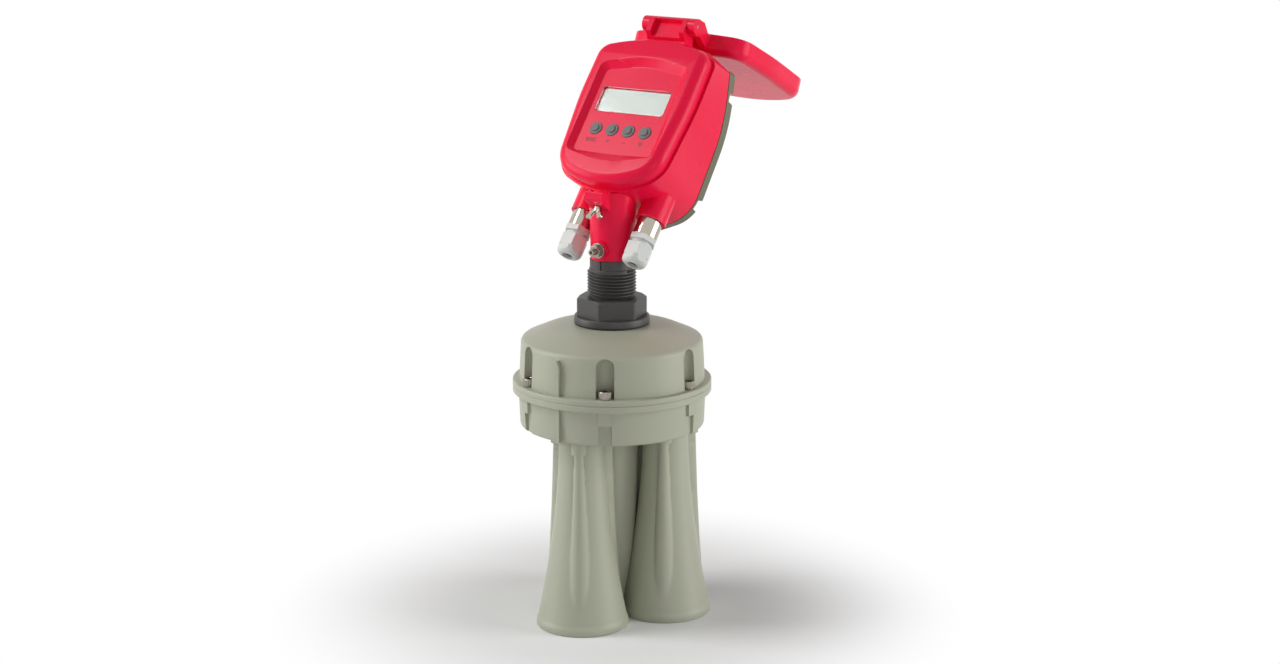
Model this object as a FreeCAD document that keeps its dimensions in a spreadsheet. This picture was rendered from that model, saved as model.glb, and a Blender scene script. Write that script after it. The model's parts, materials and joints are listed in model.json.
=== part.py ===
import FreeCAD
import Part
import math
import os
import re
import Sketcher
from FreeCAD import Placement, Rotation, Vector

# Three-dimensional level scanner, in millimetres, +Z up. The origin is on the plane of the horn mouths,
# on the axis of the antenna drum. The display looks towards -Y.

SIZES = {
    # Antenna drum
    "drum_floor": 193,
    "drum_floor_thickness": 5,
    "drum_foot_round": 3,
    "drum_parting": 234,
    "parting_line": 0.6,
    "drum_inner_radius": 76.5,
    "drum_inner_top": 260,
    "drum_room_radius": 82,
    "drum_land_bottom": 226,
    "flange_radius": 97.5,
    "flange_half": 5.5,
    "flange_lower_half": 7,
    "flange_edge_round": 1.5,
    "lower_wall_bottom_radius": 90.3,
    "lower_wall_top_radius": 91.8,
    "upper_wall_bottom_radius": 91,
    "upper_wall_top_radius": 88.9,
    "shoulder_height": 279,
    "dome_break_radius": 61,
    "dome_break_height": 291.2,
    "dome_top_radius": 38.5,
    "dome_top": 293.6,
    "dome_inside": 286.5,
    "dome_inner_radius": 64.5,
    "dome_inner_height": 272,
    "dome_round": 70,
    "shoulder_round": 5.5,
    "bolt_circle_radius": 88.5,
    "bolt_hole_radius": 4.3,
    "bolt_radius": 4,
    "bolt_length": 20,
    "bolt_head_radius": 6.5,
    "bolt_head_height": 8,
    "bolt_socket_across": 6,
    "bolt_socket_depth": 4.5,
    "scallop_radius": 9,
    "scallop_round": 8.9,
    "scallop_top": 278.4,
    "tab_width": 13,
    "tab_bottom": 214,
    "tab_reach": 94,
    "recess_wall_radius": 87.5,
    "rib_width": 5,
    "rib_foot": 193.5,
    "rib_reach": 94,
    "rib_root": 84,
    "rib_shoulder": 268,
    "rib_tip": 274,
    "seal_groove_inner": 79.7,
    "seal_groove_outer": 82.7,
    "seal_groove_depth": 3,
    "seal_clearance": 0.2,
    # Horns
    "horn_axis_radius": 52.6,
    "horn_mouth_radius": 45.2,
    "horn_lip_height": 6.5,
    "horn_flare_foot": 9.5,
    "horn_flare_foot_radius": 43.4,
    "horn_flare_low": 36,
    "horn_flare_low_radius": 38.2,
    "horn_flare_middle": 76,
    "horn_flare_middle_radius": 31.6,
    "horn_flare_high": 122,
    "horn_flare_high_radius": 25.9,
    "horn_stem_radius": 22.2,
    "horn_wall": 3,
    "horn_hollow_top": 178,
    "horn_spigot_radius": 17,
    "horn_spigot_hole": 17.3,
    "horn_throat_radius": 13,
    "collar_radius": 31,
    "collar_bottom": 189,
    "pillar_axis": 27.8,
    "pillar_top_radius": 5,
    "pillar_waist": 120,
    "pillar_waist_radius": 7,
    "pillar_belly": 66,
    "pillar_belly_axis": 27.6,
    "pillar_belly_radius": 9.3,
    "pillar_foot": 26,
    "pillar_foot_axis": 29,
    "pillar_foot_radius": 11,
    "boss_radius": 7.5,
    "boss_bottom": 180.5,
    "boss_clearance": 0.3,
    "horn_screw_radius": 2,
    "horn_screw_hole": 2.2,
    "horn_screw_head": 3.5,
    "horn_screw_head_height": 3,
    "horn_screw_depth": 18,
    "post_foot_radius": 16.3,
    "post_belly_radius": 22,
    "post_waist_radius": 24.1,
    "post_top_radius": 26.1,
    "post_top": 179.5,
    "post_clearance": 0.5,
    "post_spigot_radius": 21,
    # Antenna inside
    "driver_radius": 19.5,
    "driver_height": 22,
    "driver_cap_radius": 12,
    "driver_cap_height": 6,
    "driver_seal_inner": 14,
    "driver_seal_thickness": 1.5,
    "signal_board_radius": 62,
    "signal_board_height": 250,
    "board_thickness": 1.6,
    "board_pillar_axis": 55,
    "board_pillar_radius": 4,
    "harness_radius": 3.5,
    "harness_corner": 437,
    "harness_bend": 14,
    # Process neck
    "neck_shank_radius": 20,
    "neck_shank_hole": 20.4,
    "neck_shank_bottom": 268,
    "neck_seal_thickness": 1.4,
    "neck_flange_radius": 37,
    "neck_flange_top": 302,
    "neck_flange_round": 2,
    "neck_seal_radius": 36.5,
    "neck_hex_corner": 35,
    "neck_hex_turn": 43.5,
    "neck_hex_top": 320.5,
    "hex_chamfer_width": 3.5,
    "hex_chamfer_height": 3,
    "thread_radius": 23.9,
    "thread_top": 349,
    "thread_end_round": 1.2,
    "neck_collar_radius": 21.4,
    "neck_collar_top": 358,
    "neck_spigot_radius": 14.9,
    "neck_spigot_top": 378,
    "neck_bore_radius": 10,
    "locknut_corner": 31,
    "locknut_height": 9,
    # Head housing, in the frame of the display face
    "face_centre_back": 18.5,
    "face_centre_height": 484.5,
    "face_tilt": 40,
    "rear_centre_back": 95,
    "rear_centre_height": 480,
    "rear_tilt": 20,
    "frame_top": 107,
    "frame_top_round": 180,
    "frame_top_corner": 64,
    "frame_top_corner_height": 90.2,
    "frame_corner_round": 17,
    "frame_side": 65,
    "frame_side_height": 30,
    "frame_side_round": 300,
    "frame_bottom_corner": 58.3,
    "frame_bottom_corner_height": -48,
    "frame_bottom_round": 31,
    "frame_bottom": -73.5,
    "frame_chin_round": 96,
    "frame_front": 5,
    "frame_front_round": 10,
    "brow_start": 79,
    "brow_end": 110,
    "brow_drop": 4.5,
    "shoulder_depth": -11,
    "shoulder_step": 3,
    "rear_top": 66,
    "rear_top_corner": 62.6,
    "rear_top_corner_height": 55,
    "rear_corner_round": 5,
    "rear_side": 68,
    "rear_side_height": 0,
    "rear_side_round": 200,
    "rear_bottom_corner": 49.2,
    "rear_bottom_corner_height": -92,
    "rear_bottom_round": 42,
    "rear_bottom": -113,
    "rear_chin_round": 50,
    "housing_wall": 4.5,
    "face_wall": 3,
    "face_side_wall": 5,
    "floor_side": 44.5,
    "floor_top": 68.5,
    "floor_top_corner": 61.5,
    "floor_bottom": -32.2,
    "floor_bottom_corner": -31,
    "floor_corner_round": 5,
    "floor_chin_round": 200,
    "crest_side": 50.5,
    "crest_top": 82,
    "crest_top_corner": 67.5,
    "crest_bottom": -44.5,
    "crest_bottom_corner": -33,
    "crest_corner_round": 9,
    "crest_chin_round": 100,
    "recess_brow_round": 120,
    "window_width": 78.6,
    "window_height": 28,
    "window_centre": 28.7,
    "window_round": 3.4,
    "window_thickness": 2.6,
    "window_gap": 0.2,
    "sight_width": 77,
    "sight_height": 26.4,
    "sight_round": 2.8,
    "head_neck_radius": 20.5,
    "head_neck_top": 425,
    "head_neck_top_radius": 23.5,
    "head_neck_lean": 3,
    "head_socket_radius": 15,
    "head_socket_depth": 20.5,
    "head_bore_radius": 11,
    "head_bore_over": 5,
    "gland_spacing": 76,
    "gland_boss_end": 73.3,
    "gland_boss_depth": -51.1,
    "gland_boss_root": 45,
    "gland_boss_radius": 15,
    "gland_bore_radius": 10.1,
    "gland_bore_over": 10,
    "latch_width": 20,
    "latch_root": -58,
    "latch_foot": -40,
    "latch_shoulder": -11.6,
    "latch_throat": -69.2,
    "latch_brow": -74.5,
    "latch_brow_rise": 0.8,
    "latch_brow_round": 1.5,
    "latch_face": -82.5,
    "latch_nose": -3,
    "latch_nose_round": 3,
    "latch_heel": -26,
    "latch_underside": -72,
    "latch_screw_depth": -14.8,
    "ground_height": 369,
    "ground_boss_root": -14,
    "ground_boss_face": -23,
    "ground_boss_radius": 9.5,
    "hinge_rise": 124.4,
    "hinge_depth": -10,
    "hinge_round": 8,
    "knuckle_round": 7.9,
    "bracket_width": 44,
    "bracket_root": 98,
    "bracket_foot": -37,
    "bracket_shoulder": -11.5,
    "bracket_front": 107,
    "bracket_knee": 112,
    "bracket_back": 113,
    "bracket_back_depth": -24,
    "bracket_window_width": 33,
    "bracket_window_low": 108.5,
    "bracket_window_high": 126.4,
    "bracket_window_round": 1,
    "bracket_window_depth": 6,
    "pin_radius": 1.5,
    "pin_fit": 0.05,
    "pin_length": 60.4,
    "rear_screw_side": 60.6,
    "rear_screw_side_height": 30.5,
    "rear_screw_low": 45.6,
    "rear_screw_low_height": -78.5,
    "rear_screw_boss": 4,
    "rear_screw_boss_depth": 16,
    # Keys and boards in the head
    "key_pitch": 18.9,
    "key_row": -5.3,
    "key_hole_radius": 7,
    "key_radius": 6.75,
    "key_rise": 1,
    "key_edge": 0.5,
    "key_nub_radius": 4.2,
    "key_nub_rise": 2.4,
    "key_nub_edge": 0.8,
    "key_flange_radius": 8,
    "key_flange_top": -3.35,
    "key_flange_bottom": -4.6,
    "key_stem_radius": 2,
    "key_stem_bottom": -5.2,
    "display_board_front": -8,
    "display_board_half": 46,
    "display_board_top": 52,
    "display_board_bottom": -28,
    "display_tongue_half": 11,
    "display_tongue_bottom": -55,
    "display_post_radius": 4,
    "display_post_side": 42,
    "display_post_high": 47,
    "display_post_low": -22,
    "display_module_gap": 0.3,
    "dome_radius": 3,
    "dome_height": 1.7,
    "dome_edge": 0.8,
    "spacer_radius": 3,
    "spacer_side": 37,
    "spacer_high": 46,
    "spacer_low": -24,
    "main_board_front": -34,
    "main_board_half": 42,
    "main_board_top": 50,
    "main_board_bottom": -34,
    "terminal_width": 60,
    "terminal_depth": 14,
    "terminal_row": -22,
    "terminal_height": 16,
    "supply_width": 44,
    "supply_depth": 17,
    "supply_row": 27,
    "supply_height": 30,
    # Flip cover
    "cover_rim": -10.6,
    "cover_inside": 6.2,
    "cover_outside": 9.4,
    "cover_gap": 0.7,
    "cover_edge_round": 8.5,
    "cover_inner_round": 6,
    "cover_swing": 254,
    "arm_width": 8,
    "arm_gap": 0.4,
    "arm_root": 101.5,
    "arm_root_top": 5,
    "arm_knee": 116,
    "arm_back": 114,
    "arm_heel": 104.5,
    "arm_bore_over": 4,
    # Rear cover
    "rear_gasket_thickness": 1.2,
    "rear_gasket_width": 1.6,
    "rear_gasket_inset": 0.6,
    "rear_cover_thickness": 12,
    "rear_cover_edge": 2.5,
    "rear_cover_land": 14,
    "rear_cover_hollow": 8.5,
    "rear_notch_width": 10,
    "rear_notch_slope": 2,
    "rear_notch_inner": 6,
    "rear_notch_outer": 15,
    "rear_notch_floor": 3,
    "rear_screw_radius": 1.9,
    "rear_screw_hole": 2.1,
    "rear_screw_head": 4.4,
    "rear_screw_head_height": 2.8,
    "rear_screw_dome": 1.4,
    "rear_screw_length": 14,
    # Cable glands
    "adapter_radius": 12.25,
    "adapter_length": 18,
    "adapter_thread": 9.9,
    "adapter_thread_length": 12,
    "adapter_bore": 7,
    "gland_hex_corner": 13.9,
    "gland_flange": 5.6,
    "gland_neck_radius": 10.2,
    "gland_neck": 4,
    "gland_stem_radius": 9.5,
    "gland_stem": 9,
    "gland_body_bore": 6.5,
    "nut_bore_radius": 9.8,
    "nut_length": 20.5,
    "nut_dome_radius": 12.7,
    "nut_dome_round": 5.8,
    "nut_dome_start": 12.5,
    "nut_end_radius": 6.7,
    "nut_mouth_radius": 5.8,
    "nut_cone_radius": 7.1,
    "gland_seal_radius": 9.2,
    "gland_seal_tip": 6.8,
    "gland_seal_bore": 5,
    "gland_seal_length": 8,
    # Wing screw and ground terminal
    "wing_shank_radius": 2,
    "wing_shank_hole": 2.08,
    "wing_shank_length": 11,
    "wing_gap": 0.4,
    "wing_hub_radius": 3.5,
    "wing_hub_tip": 2.9,
    "wing_hub_length": 6,
    "wing_thickness": 2.4,
    "wing_span": 22,
    "wing_drop": 14,
    "wing_turn": 14,
    "wing_root": 1.5,
    "wing_foot": 1.6,
    "wing_shoulder": 3.8,
    "wing_tip_width": 4.2,
    "wing_tip_drop": 3,
    "wing_round": 1.6,
    "stud_radius": 3,
    "stud_hole": 3.1,
    "stud_root": -16,
    "stud_tip": -35.4,
    "stud_socket_across": 3,
    "stud_socket_depth": 3,
    "washer_radius": 7.6,
    "washer_thickness": 1.6,
    "ground_nut_corner": 6.4,
    "ground_nut_turn": 15,
    "ground_nut_height": 5,
    # Shared
    "screw_edge": 0.6,
    "lap": 1,
}

DOC = FreeCAD.newDocument("LevelScanner")
SHEET = DOC.addObject("Spreadsheet::Sheet", "Sizes")
for row, (alias, number) in enumerate(SIZES.items(), start=1):
    SHEET.set("A%d" % row, alias)
    SHEET.set("B%d" % row, str(number))
    SHEET.setAlias("B%d" % row, alias)
DOC.recompute()

NODES = []
UP = Vector(0, 0, 1)
ACROSS = Vector(1, 0, 0)


# Expressions and frames

def linked(text):
    """The expression with every alias pointed at the sizes sheet."""
    return re.sub(r"[a-z]\w*", lambda m: "Sizes." + m[0] if m[0] in SIZES else m[0], str(text))


def size(text):
    """The number that an expression of aliases has now."""
    return float(SHEET.evalExpression(linked(text)))


def bind(thing, name, text):
    thing.setExpression(name, linked(text))


def shift(x=0, y=0, z=0):
    return Placement(Vector(size(x), size(y), size(z)), Rotation())


def turn(degrees, axis=UP):
    return Placement(Vector(), Rotation(axis, degrees))


FACE = shift(0, "face_centre_back", "face_centre_height") * turn(90 - size("face_tilt"), ACROSS)
REAR = shift(0, "rear_centre_back", "rear_centre_height") * turn(90 - size("rear_tilt"), ACROSS)
DOWN_FACE = turn(90, ACROSS)
HINGE = FACE * shift(0, "hinge_rise", "hinge_depth")
OPENED = HINGE * turn(-size("cover_swing"), ACROSS) * HINGE.inverse()
HORN_TURNS = (0, 120, 240)


# Sub-parts and their features

def new_body(label, frame=Placement(), kept=True):
    body = DOC.addObject("PartDesign::Body", label)
    body.Label = label
    body.Placement = frame
    if kept:
        NODES.append(body)
    return body


def origin_feature(body, role):
    return [item for item in body.Origin.OriginFeatures if item.Role == role][0]


def new_sketch(body, plane="XY_Plane", at=Placement()):
    sketch = body.newObject("Sketcher::SketchObject", "Sketch")
    sketch.AttachmentSupport = [(origin_feature(body, plane), "")]
    sketch.MapMode = "FlatFace"
    sketch.AttachmentOffset = at
    return sketch


def rule(sketch, *parts, text=None):
    """One sketch constraint, bound to the sheet where it has a size."""
    if text is None:
        return sketch.addConstraint(Sketcher.Constraint(*parts))
    index = sketch.addConstraint(Sketcher.Constraint(*parts, size(text)))
    bind(sketch, "Constraints[%d]" % index, text)
    return index


def pin_point(sketch, item, end, x, y):
    rule(sketch, "DistanceX", -1, 1, item, end, text=x)
    rule(sketch, "DistanceY", -1, 1, item, end, text=y)


def outline(sketch, corners):
    """A closed outline through corners (x, y) or (x, y, radius), each given as an expression."""
    points = [Vector(size(c[0]), size(c[1]), 0) for c in corners]
    count = len(corners)
    starts, ends, arcs = {}, {}, {}
    for i, corner in enumerate(corners):
        here = points[i]
        if len(corner) < 3:
            starts[i] = ends[i] = here
            continue
        before = (points[i - 1] - here).normalize()
        after = (points[(i + 1) % count] - here).normalize()
        half = before.getAngle(after) / 2
        radius = size(corner[2])
        centre = here + (before + after).normalize() * (radius / math.sin(half))
        ends[i] = here + before * (radius / math.tan(half))
        starts[i] = here + after * (radius / math.tan(half))
        left_turn = (before.cross(after)).z < 0
        first, last = (ends[i], starts[i]) if left_turn else (starts[i], ends[i])
        angles = [math.atan2(p.y - centre.y, p.x - centre.x) for p in (first, last)]
        arcs[i] = (Part.ArcOfCircle(Part.Circle(centre, UP, radius), *angles), left_turn)
    lines = [
        sketch.addGeometry(Part.LineSegment(starts[i], ends[(i + 1) % count])) for i in range(count)
    ]
    for i, corner in enumerate(corners):
        line_in, line_out = lines[i - 1], lines[i]
        if i not in arcs:
            rule(sketch, "Coincident", line_in, 2, line_out, 1)
            pin_point(sketch, line_out, 1, corner[0], corner[1])
            continue
        shape, left_turn = arcs[i]
        arc = sketch.addGeometry(shape)
        tip = sketch.addGeometry(Part.Point(points[i]), True)
        arc_in, arc_out = (1, 2) if left_turn else (2, 1)
        rule(sketch, "Tangent", line_in, 2, arc, arc_in)
        rule(sketch, "Tangent", arc, arc_out, line_out, 1)
        rule(sketch, "PointOnObject", tip, 1, line_in)
        rule(sketch, "PointOnObject", tip, 1, line_out)
        pin_point(sketch, tip, 1, corner[0], corner[1])
        rule(sketch, "Radius", arc, text=corner[2])


def circle(sketch, x, y, radius):
    ring = sketch.addGeometry(Part.Circle(Vector(size(x), size(y), 0), UP, size(radius)))
    pin_point(sketch, ring, 3, x, y)
    rule(sketch, "Radius", ring, text=radius)


def box(sketch, x_low, y_low, x_high, y_high, radius=None):
    corners = [(x_low, y_low), (x_high, y_low), (x_high, y_high), (x_low, y_high)]
    outline(sketch, [c if radius is None else (*c, radius) for c in corners])


def hexagon(sketch, corner, start=0):
    outline(sketch, [
        ("%s * cos(%s + %d)" % (corner, start, 60 * k), "%s * sin(%s + %d)" % (corner, start, 60 * k))
        for k in range(6)
    ])


def feature(body, kind, sketch, **sizes):
    """A sketched feature; one that should cut is checked to have removed material."""
    before = body.Shape.Volume if body.Tip else 0
    made = body.newObject("PartDesign::" + kind, kind)
    made.Profile = sketch
    for name, value in sizes.items():
        if isinstance(value, (bool, list, tuple)):
            setattr(made, name, value)
        else:
            bind(made, name, value)
    DOC.recompute()
    if kind in ("Pocket", "Groove", "SubtractiveLoft") and made.Shape.Volume >= before:
        raise ValueError("%s in %s removed nothing" % (kind, body.Label))
    return made


def pad(body, sketch, length, **more):
    return feature(body, "Pad", sketch, Length=length, **more)


def pocket(body, sketch, length, **more):
    return feature(body, "Pocket", sketch, Length=length, **more)


def revolve(body, corners, kind="Revolution", at=Placement()):
    """A turned form about the sketch's upright axis, from corners (radius, height)."""
    sketch = new_sketch(body, "XZ_Plane", at)
    outline(sketch, corners)
    return feature(body, kind, sketch, ReferenceAxis=(sketch, ["V_Axis"]))


def polar(body, originals, count=3):
    made = body.newObject("PartDesign::PolarPattern", "Pattern")
    made.Originals = originals
    made.Axis = (origin_feature(body, "Z_Axis"), [""])
    made.Angle = 360
    made.Occurrences = count
    body.Tip = made
    DOC.recompute()
    return made


def dress_edges(body, kind, amount, wanted):
    """A fillet or chamfer on every edge of the body whose end points all pass the test."""
    base = body.Tip
    names = [
        "Edge%d" % (i + 1)
        for i, edge in enumerate(base.Shape.Edges)
        if all(wanted(v.Point) for v in edge.Vertexes)
    ]
    made = body.newObject("PartDesign::" + kind, kind)
    made.Base = (base, names)
    bind(made, "Radius" if kind == "Fillet" else "Size", amount)
    DOC.recompute()
    return made


def turned(label, corners, frame=Placement(), kept=True):
    body = new_body(label, frame, kept)
    revolve(body, corners)
    return body


def slab(label, corners, low, high, frame=Placement()):
    """A flat piece between two heights of its frame."""
    body = new_body(label, frame)
    sketch = new_sketch(body, at=shift(z=low))
    outline(sketch, corners)
    pad(body, sketch, "(%s) - (%s)" % (high, low))
    return body


def rectangle(x_low, y_low, x_high, y_high):
    return [(x_low, y_low), (x_high, y_low), (x_high, y_high), (x_low, y_high)]


def group(label, piece, frames):
    """Identical pieces as one node of separate solids."""
    made = DOC.addObject("Part::Feature", label)
    made.Label = label
    made.Shape = Part.makeCompound([piece.Shape.copy().transformed(f.Matrix) for f in frames])
    NODES.append(made)
    return made


# Outlines of the head

def shield(grow=0):
    """Front outline of the head, moved outwards by grow; each factor follows its corner's slope."""
    g = "(%s)" % grow
    half = [
        ("frame_bottom_corner + 0.95*" + g, "frame_bottom_corner_height - 0.5*" + g,
         "frame_bottom_round + " + g),
        ("frame_side + " + g, "frame_side_height", "frame_side_round"),
        ("frame_top_corner + " + g, "frame_top_corner_height + 0.9*" + g, "frame_corner_round + " + g),
    ]
    bottom = ("0", "frame_bottom - 1.09*" + g, "frame_chin_round + " + g)
    top = ("0", "frame_top + 1.03*" + g, "frame_top_round + " + g)
    return mirrored(bottom, half, top)


def rear_shield(grow=0):
    """Rear outline of the head, moved outwards by grow; each factor follows its corner's slope."""
    g = "(%s)" % grow
    half = [
        ("rear_bottom_corner + 0.9*" + g, "rear_bottom_corner_height - 0.6*" + g,
         "rear_bottom_round + " + g),
        ("rear_side + " + g, "rear_side_height", "rear_side_round + 6*" + g),
        ("rear_top_corner + " + g, "rear_top_corner_height + 0.9*" + g, "rear_corner_round"),
    ]
    bottom = ("0", "rear_bottom - 1.12*" + g, "rear_chin_round + " + g)
    top = ("0", "rear_top + 1.02*" + g, "frame_top_round + " + g)
    return mirrored(bottom, half, top)


def mirrored(bottom, right_half, top):
    left_half = [("-(%s)" % x, y, r) for x, y, r in reversed(right_half)]
    return [bottom] + right_half + [top] + left_half


# Antenna drum

def upright(turn_degrees, height):
    """A level sketch plane at a height, turned about the drum's axis."""
    return shift(z=height) * turn(turn_degrees)


def add_ribs(body, low, shoulder, tip):
    """A thin rib at the front of the drum and one at its back."""
    sketch = new_sketch(body, "XZ_Plane", shift(z="rib_root"))
    outline(sketch, [
        ("-rib_width/2", low), ("rib_width/2", low), ("rib_width/2", shoulder),
        ("0", tip), ("-rib_width/2", shoulder),
    ])
    polar(body, [pad(body, sketch, "rib_reach - rib_root")], 2)


def add_bolt_holes(body, top, depth):
    sketch = new_sketch(body, at=upright(30, top))
    circle(sketch, "0", "-bolt_circle_radius", "bolt_hole_radius")
    polar(body, [pocket(body, sketch, depth)], 6)


def make_upper_housing():
    body = new_body("upper_housing")
    flange_top = "drum_parting + flange_half"
    revolve(body, [
        ("drum_inner_radius", "drum_parting"), ("flange_radius - parting_line", "drum_parting"),
        ("flange_radius", "drum_parting + parting_line"),
        ("flange_radius", flange_top, "flange_edge_round"), ("upper_wall_bottom_radius", flange_top),
        ("upper_wall_top_radius", "shoulder_height", "shoulder_round"),
        ("dome_break_radius", "dome_break_height", "dome_round"),
        ("dome_top_radius", "dome_top"), ("neck_shank_hole", "dome_top"),
        ("neck_shank_hole", "dome_inside"), ("dome_top_radius", "dome_inside"),
        ("dome_inner_radius", "dome_inner_height"), ("drum_inner_radius", "drum_inner_top"),
    ])
    add_ribs(body, flange_top + " - lap", "rib_shoulder", "rib_tip")
    bolt = turn(30).multVec(Vector(0, -size("bolt_circle_radius"), 0))
    scallop = revolve(body, [
        ("0", flange_top), ("scallop_radius", flange_top),
        ("scallop_radius", "scallop_top", "scallop_round"), ("0", "scallop_top"),
    ], "Groove", Placement(Vector(bolt.x, 0, -bolt.y), Rotation()))
    polar(body, [scallop], 6)
    add_bolt_holes(body, flange_top, "flange_half + lap")
    return body


def make_lower_housing():
    body = new_body("lower_housing")
    flange_bottom = "drum_parting - flange_lower_half"
    floor_top = "drum_floor + drum_floor_thickness"
    revolve(body, [
        ("0", "drum_floor"), ("lower_wall_bottom_radius", "drum_floor", "drum_foot_round"),
        ("lower_wall_top_radius", flange_bottom), ("flange_radius", flange_bottom, "flange_edge_round"),
        ("flange_radius", "drum_parting - parting_line"), ("flange_radius - parting_line", "drum_parting"),
        ("drum_inner_radius", "drum_parting"), ("drum_inner_radius", "drum_land_bottom"),
        ("drum_room_radius", "drum_land_bottom"), ("drum_room_radius", floor_top), ("0", floor_top),
    ])
    add_ribs(body, "rib_foot", flange_bottom, flange_bottom + " + lap")
    tab = new_sketch(body, at=upright(30, "tab_bottom"))
    box(tab, "-tab_width/2", "-tab_reach", "tab_width/2", "-rib_root")
    polar(body, [pad(body, tab, flange_bottom + " - tab_bottom + lap")], 6)
    recess = new_sketch(body, at=upright(30, "tab_bottom"))
    box(recess, "-tab_width/2", "-flange_radius", "tab_width/2", "-recess_wall_radius")
    polar(body, [pocket(body, recess, "tab_bottom - drum_floor + lap")], 6)
    collar = new_sketch(body, at=shift(z="collar_bottom"))
    circle(collar, "0", "-horn_axis_radius", "collar_radius")
    polar(body, [pad(body, collar, "drum_floor - collar_bottom + lap")])
    bosses = new_sketch(body, at=shift(z="boss_bottom"))
    spots = horn_screw_spots()
    for x, y in spots:
        circle(bosses, x, y, "boss_radius")
    polar(body, [pad(body, bosses, "drum_floor - boss_bottom + lap")])
    holes = new_sketch(body, at=shift(z=floor_top))
    for x, y in spots:
        circle(holes, x, y, "horn_screw_hole")
    circle(holes, "0", "-horn_axis_radius", "horn_spigot_hole")
    polar(body, [pocket(body, holes, floor_top + " - boss_bottom + lap")])
    groove = [
        ("seal_groove_inner", "drum_parting - seal_groove_depth"),
        ("seal_groove_outer", "drum_parting - seal_groove_depth"),
        ("seal_groove_outer", "drum_parting"), ("seal_groove_inner", "drum_parting"),
    ]
    revolve(body, groove, "Groove")
    add_bolt_holes(body, "drum_parting", "bolt_length - flange_half + lap")
    return body


def horn_screw_spots():
    """Screw places of the front horn, seen from above."""
    return [
        ("pillar_axis * sin(%d)" % a, "-horn_axis_radius - pillar_axis * cos(%d)" % a)
        for a in (30, 150, 270)
    ]


def flare(body, kind, grow, top, axis="0"):
    """A horn's flared form as a loft through circles, moved outwards by grow."""
    sections = [
        ("horn_flare_foot", "horn_flare_foot_radius"), ("horn_flare_low", "horn_flare_low_radius"),
        ("horn_flare_middle", "horn_flare_middle_radius"), ("horn_flare_high", "horn_flare_high_radius"),
        (top, "horn_stem_radius"),
    ]
    sketches = []
    for height, radius in sections:
        sketch = new_sketch(body, at=shift(z=height))
        circle(sketch, "0", axis, "%s + (%s)" % (radius, grow))
        sketches.append(sketch)
    return feature(body, kind, sketches[0], Sections=sketches[1:], Ruled=True)


def make_horn(label, frame):
    body = new_body(label, frame)
    spigot_top = "drum_floor + drum_floor_thickness"
    revolve(body, [
        ("0", "0"), ("horn_mouth_radius", "0"), ("horn_mouth_radius", "horn_lip_height"),
        ("horn_flare_foot_radius", "horn_flare_foot"), ("0", "horn_flare_foot"),
    ])
    flare(body, "AdditiveLoft", "0", "collar_bottom")
    spigot = new_sketch(body, at=shift(z="collar_bottom"))
    circle(spigot, "0", "0", "horn_spigot_radius")
    pad(body, spigot, spigot_top + " - collar_bottom")
    sections = [
        ("pillar_foot", "pillar_foot_axis", "pillar_foot_radius"),
        ("pillar_belly", "pillar_belly_axis", "pillar_belly_radius"),
        ("pillar_waist", "pillar_axis", "pillar_waist_radius"),
        ("boss_bottom", "pillar_axis", "pillar_top_radius"),
    ]
    sketches = []
    for height, axis, radius in sections:
        sketch = new_sketch(body, at=upright(30, height))
        circle(sketch, "0", "-" + axis, radius)
        sketches.append(sketch)
    polar(body, [feature(body, "AdditiveLoft", sketches[0], Sections=sketches[1:], Ruled=True)])
    seat = new_sketch(body, at=upright(30, "collar_bottom"))
    circle(seat, "0", "-pillar_axis", "boss_radius + boss_clearance")
    polar(body, [pocket(body, seat, "collar_bottom - boss_bottom")])
    flare(body, "SubtractiveLoft", "-horn_wall", "horn_hollow_top")
    revolve(body, [
        ("0", "-lap"), ("horn_mouth_radius - horn_wall", "-lap"),
        ("horn_flare_foot_radius - horn_wall", "horn_flare_foot"), ("0", "horn_flare_foot"),
    ], "Groove")
    throat = new_sketch(body, at=shift(z=spigot_top))
    circle(throat, "0", "0", "horn_throat_radius")
    pocket(body, throat, spigot_top + " - horn_hollow_top + lap")
    hole = new_sketch(body, at=upright(30, "boss_bottom"))
    circle(hole, "0", "-pillar_axis", "horn_screw_hole")
    polar(body, [pocket(body, hole, "horn_screw_depth")])
    return body


def make_centre_post():
    body = new_body("centre_post")
    revolve(body, [
        ("0", "0"), ("post_foot_radius", "0"), ("post_belly_radius", "pillar_belly"),
        ("post_waist_radius", "pillar_waist"), ("post_top_radius", "post_top"),
        ("post_spigot_radius", "post_top"), ("post_spigot_radius", "drum_floor"), ("0", "drum_floor"),
    ])
    clear = flare(body, "SubtractiveLoft", "post_clearance", "collar_bottom", axis="-horn_axis_radius")
    polar(body, [clear])
    lip = new_sketch(body, at=shift(z="horn_flare_foot + post_clearance"))
    circle(lip, "0", "-horn_axis_radius", "horn_mouth_radius + post_clearance")
    polar(body, [pocket(body, lip, "horn_flare_foot + lap")])
    return body


def make_socket_screw(label, radius, length, head, head_height, socket, socket_depth):
    """A screw with its head's seat at height 0 and a hexagon socket on top."""
    body = turned(label, [
        ("0", "-" + length), (radius, "-" + length), (radius, "0"), (head, "0"),
        (head, head_height + " - screw_edge"), (head + " - screw_edge", head_height), ("0", head_height),
    ], kept=False)
    sketch = new_sketch(body, at=shift(z=head_height))
    hexagon(sketch, "%s / sqrt(3)" % socket)
    pocket(body, sketch, socket_depth)
    return body


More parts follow.
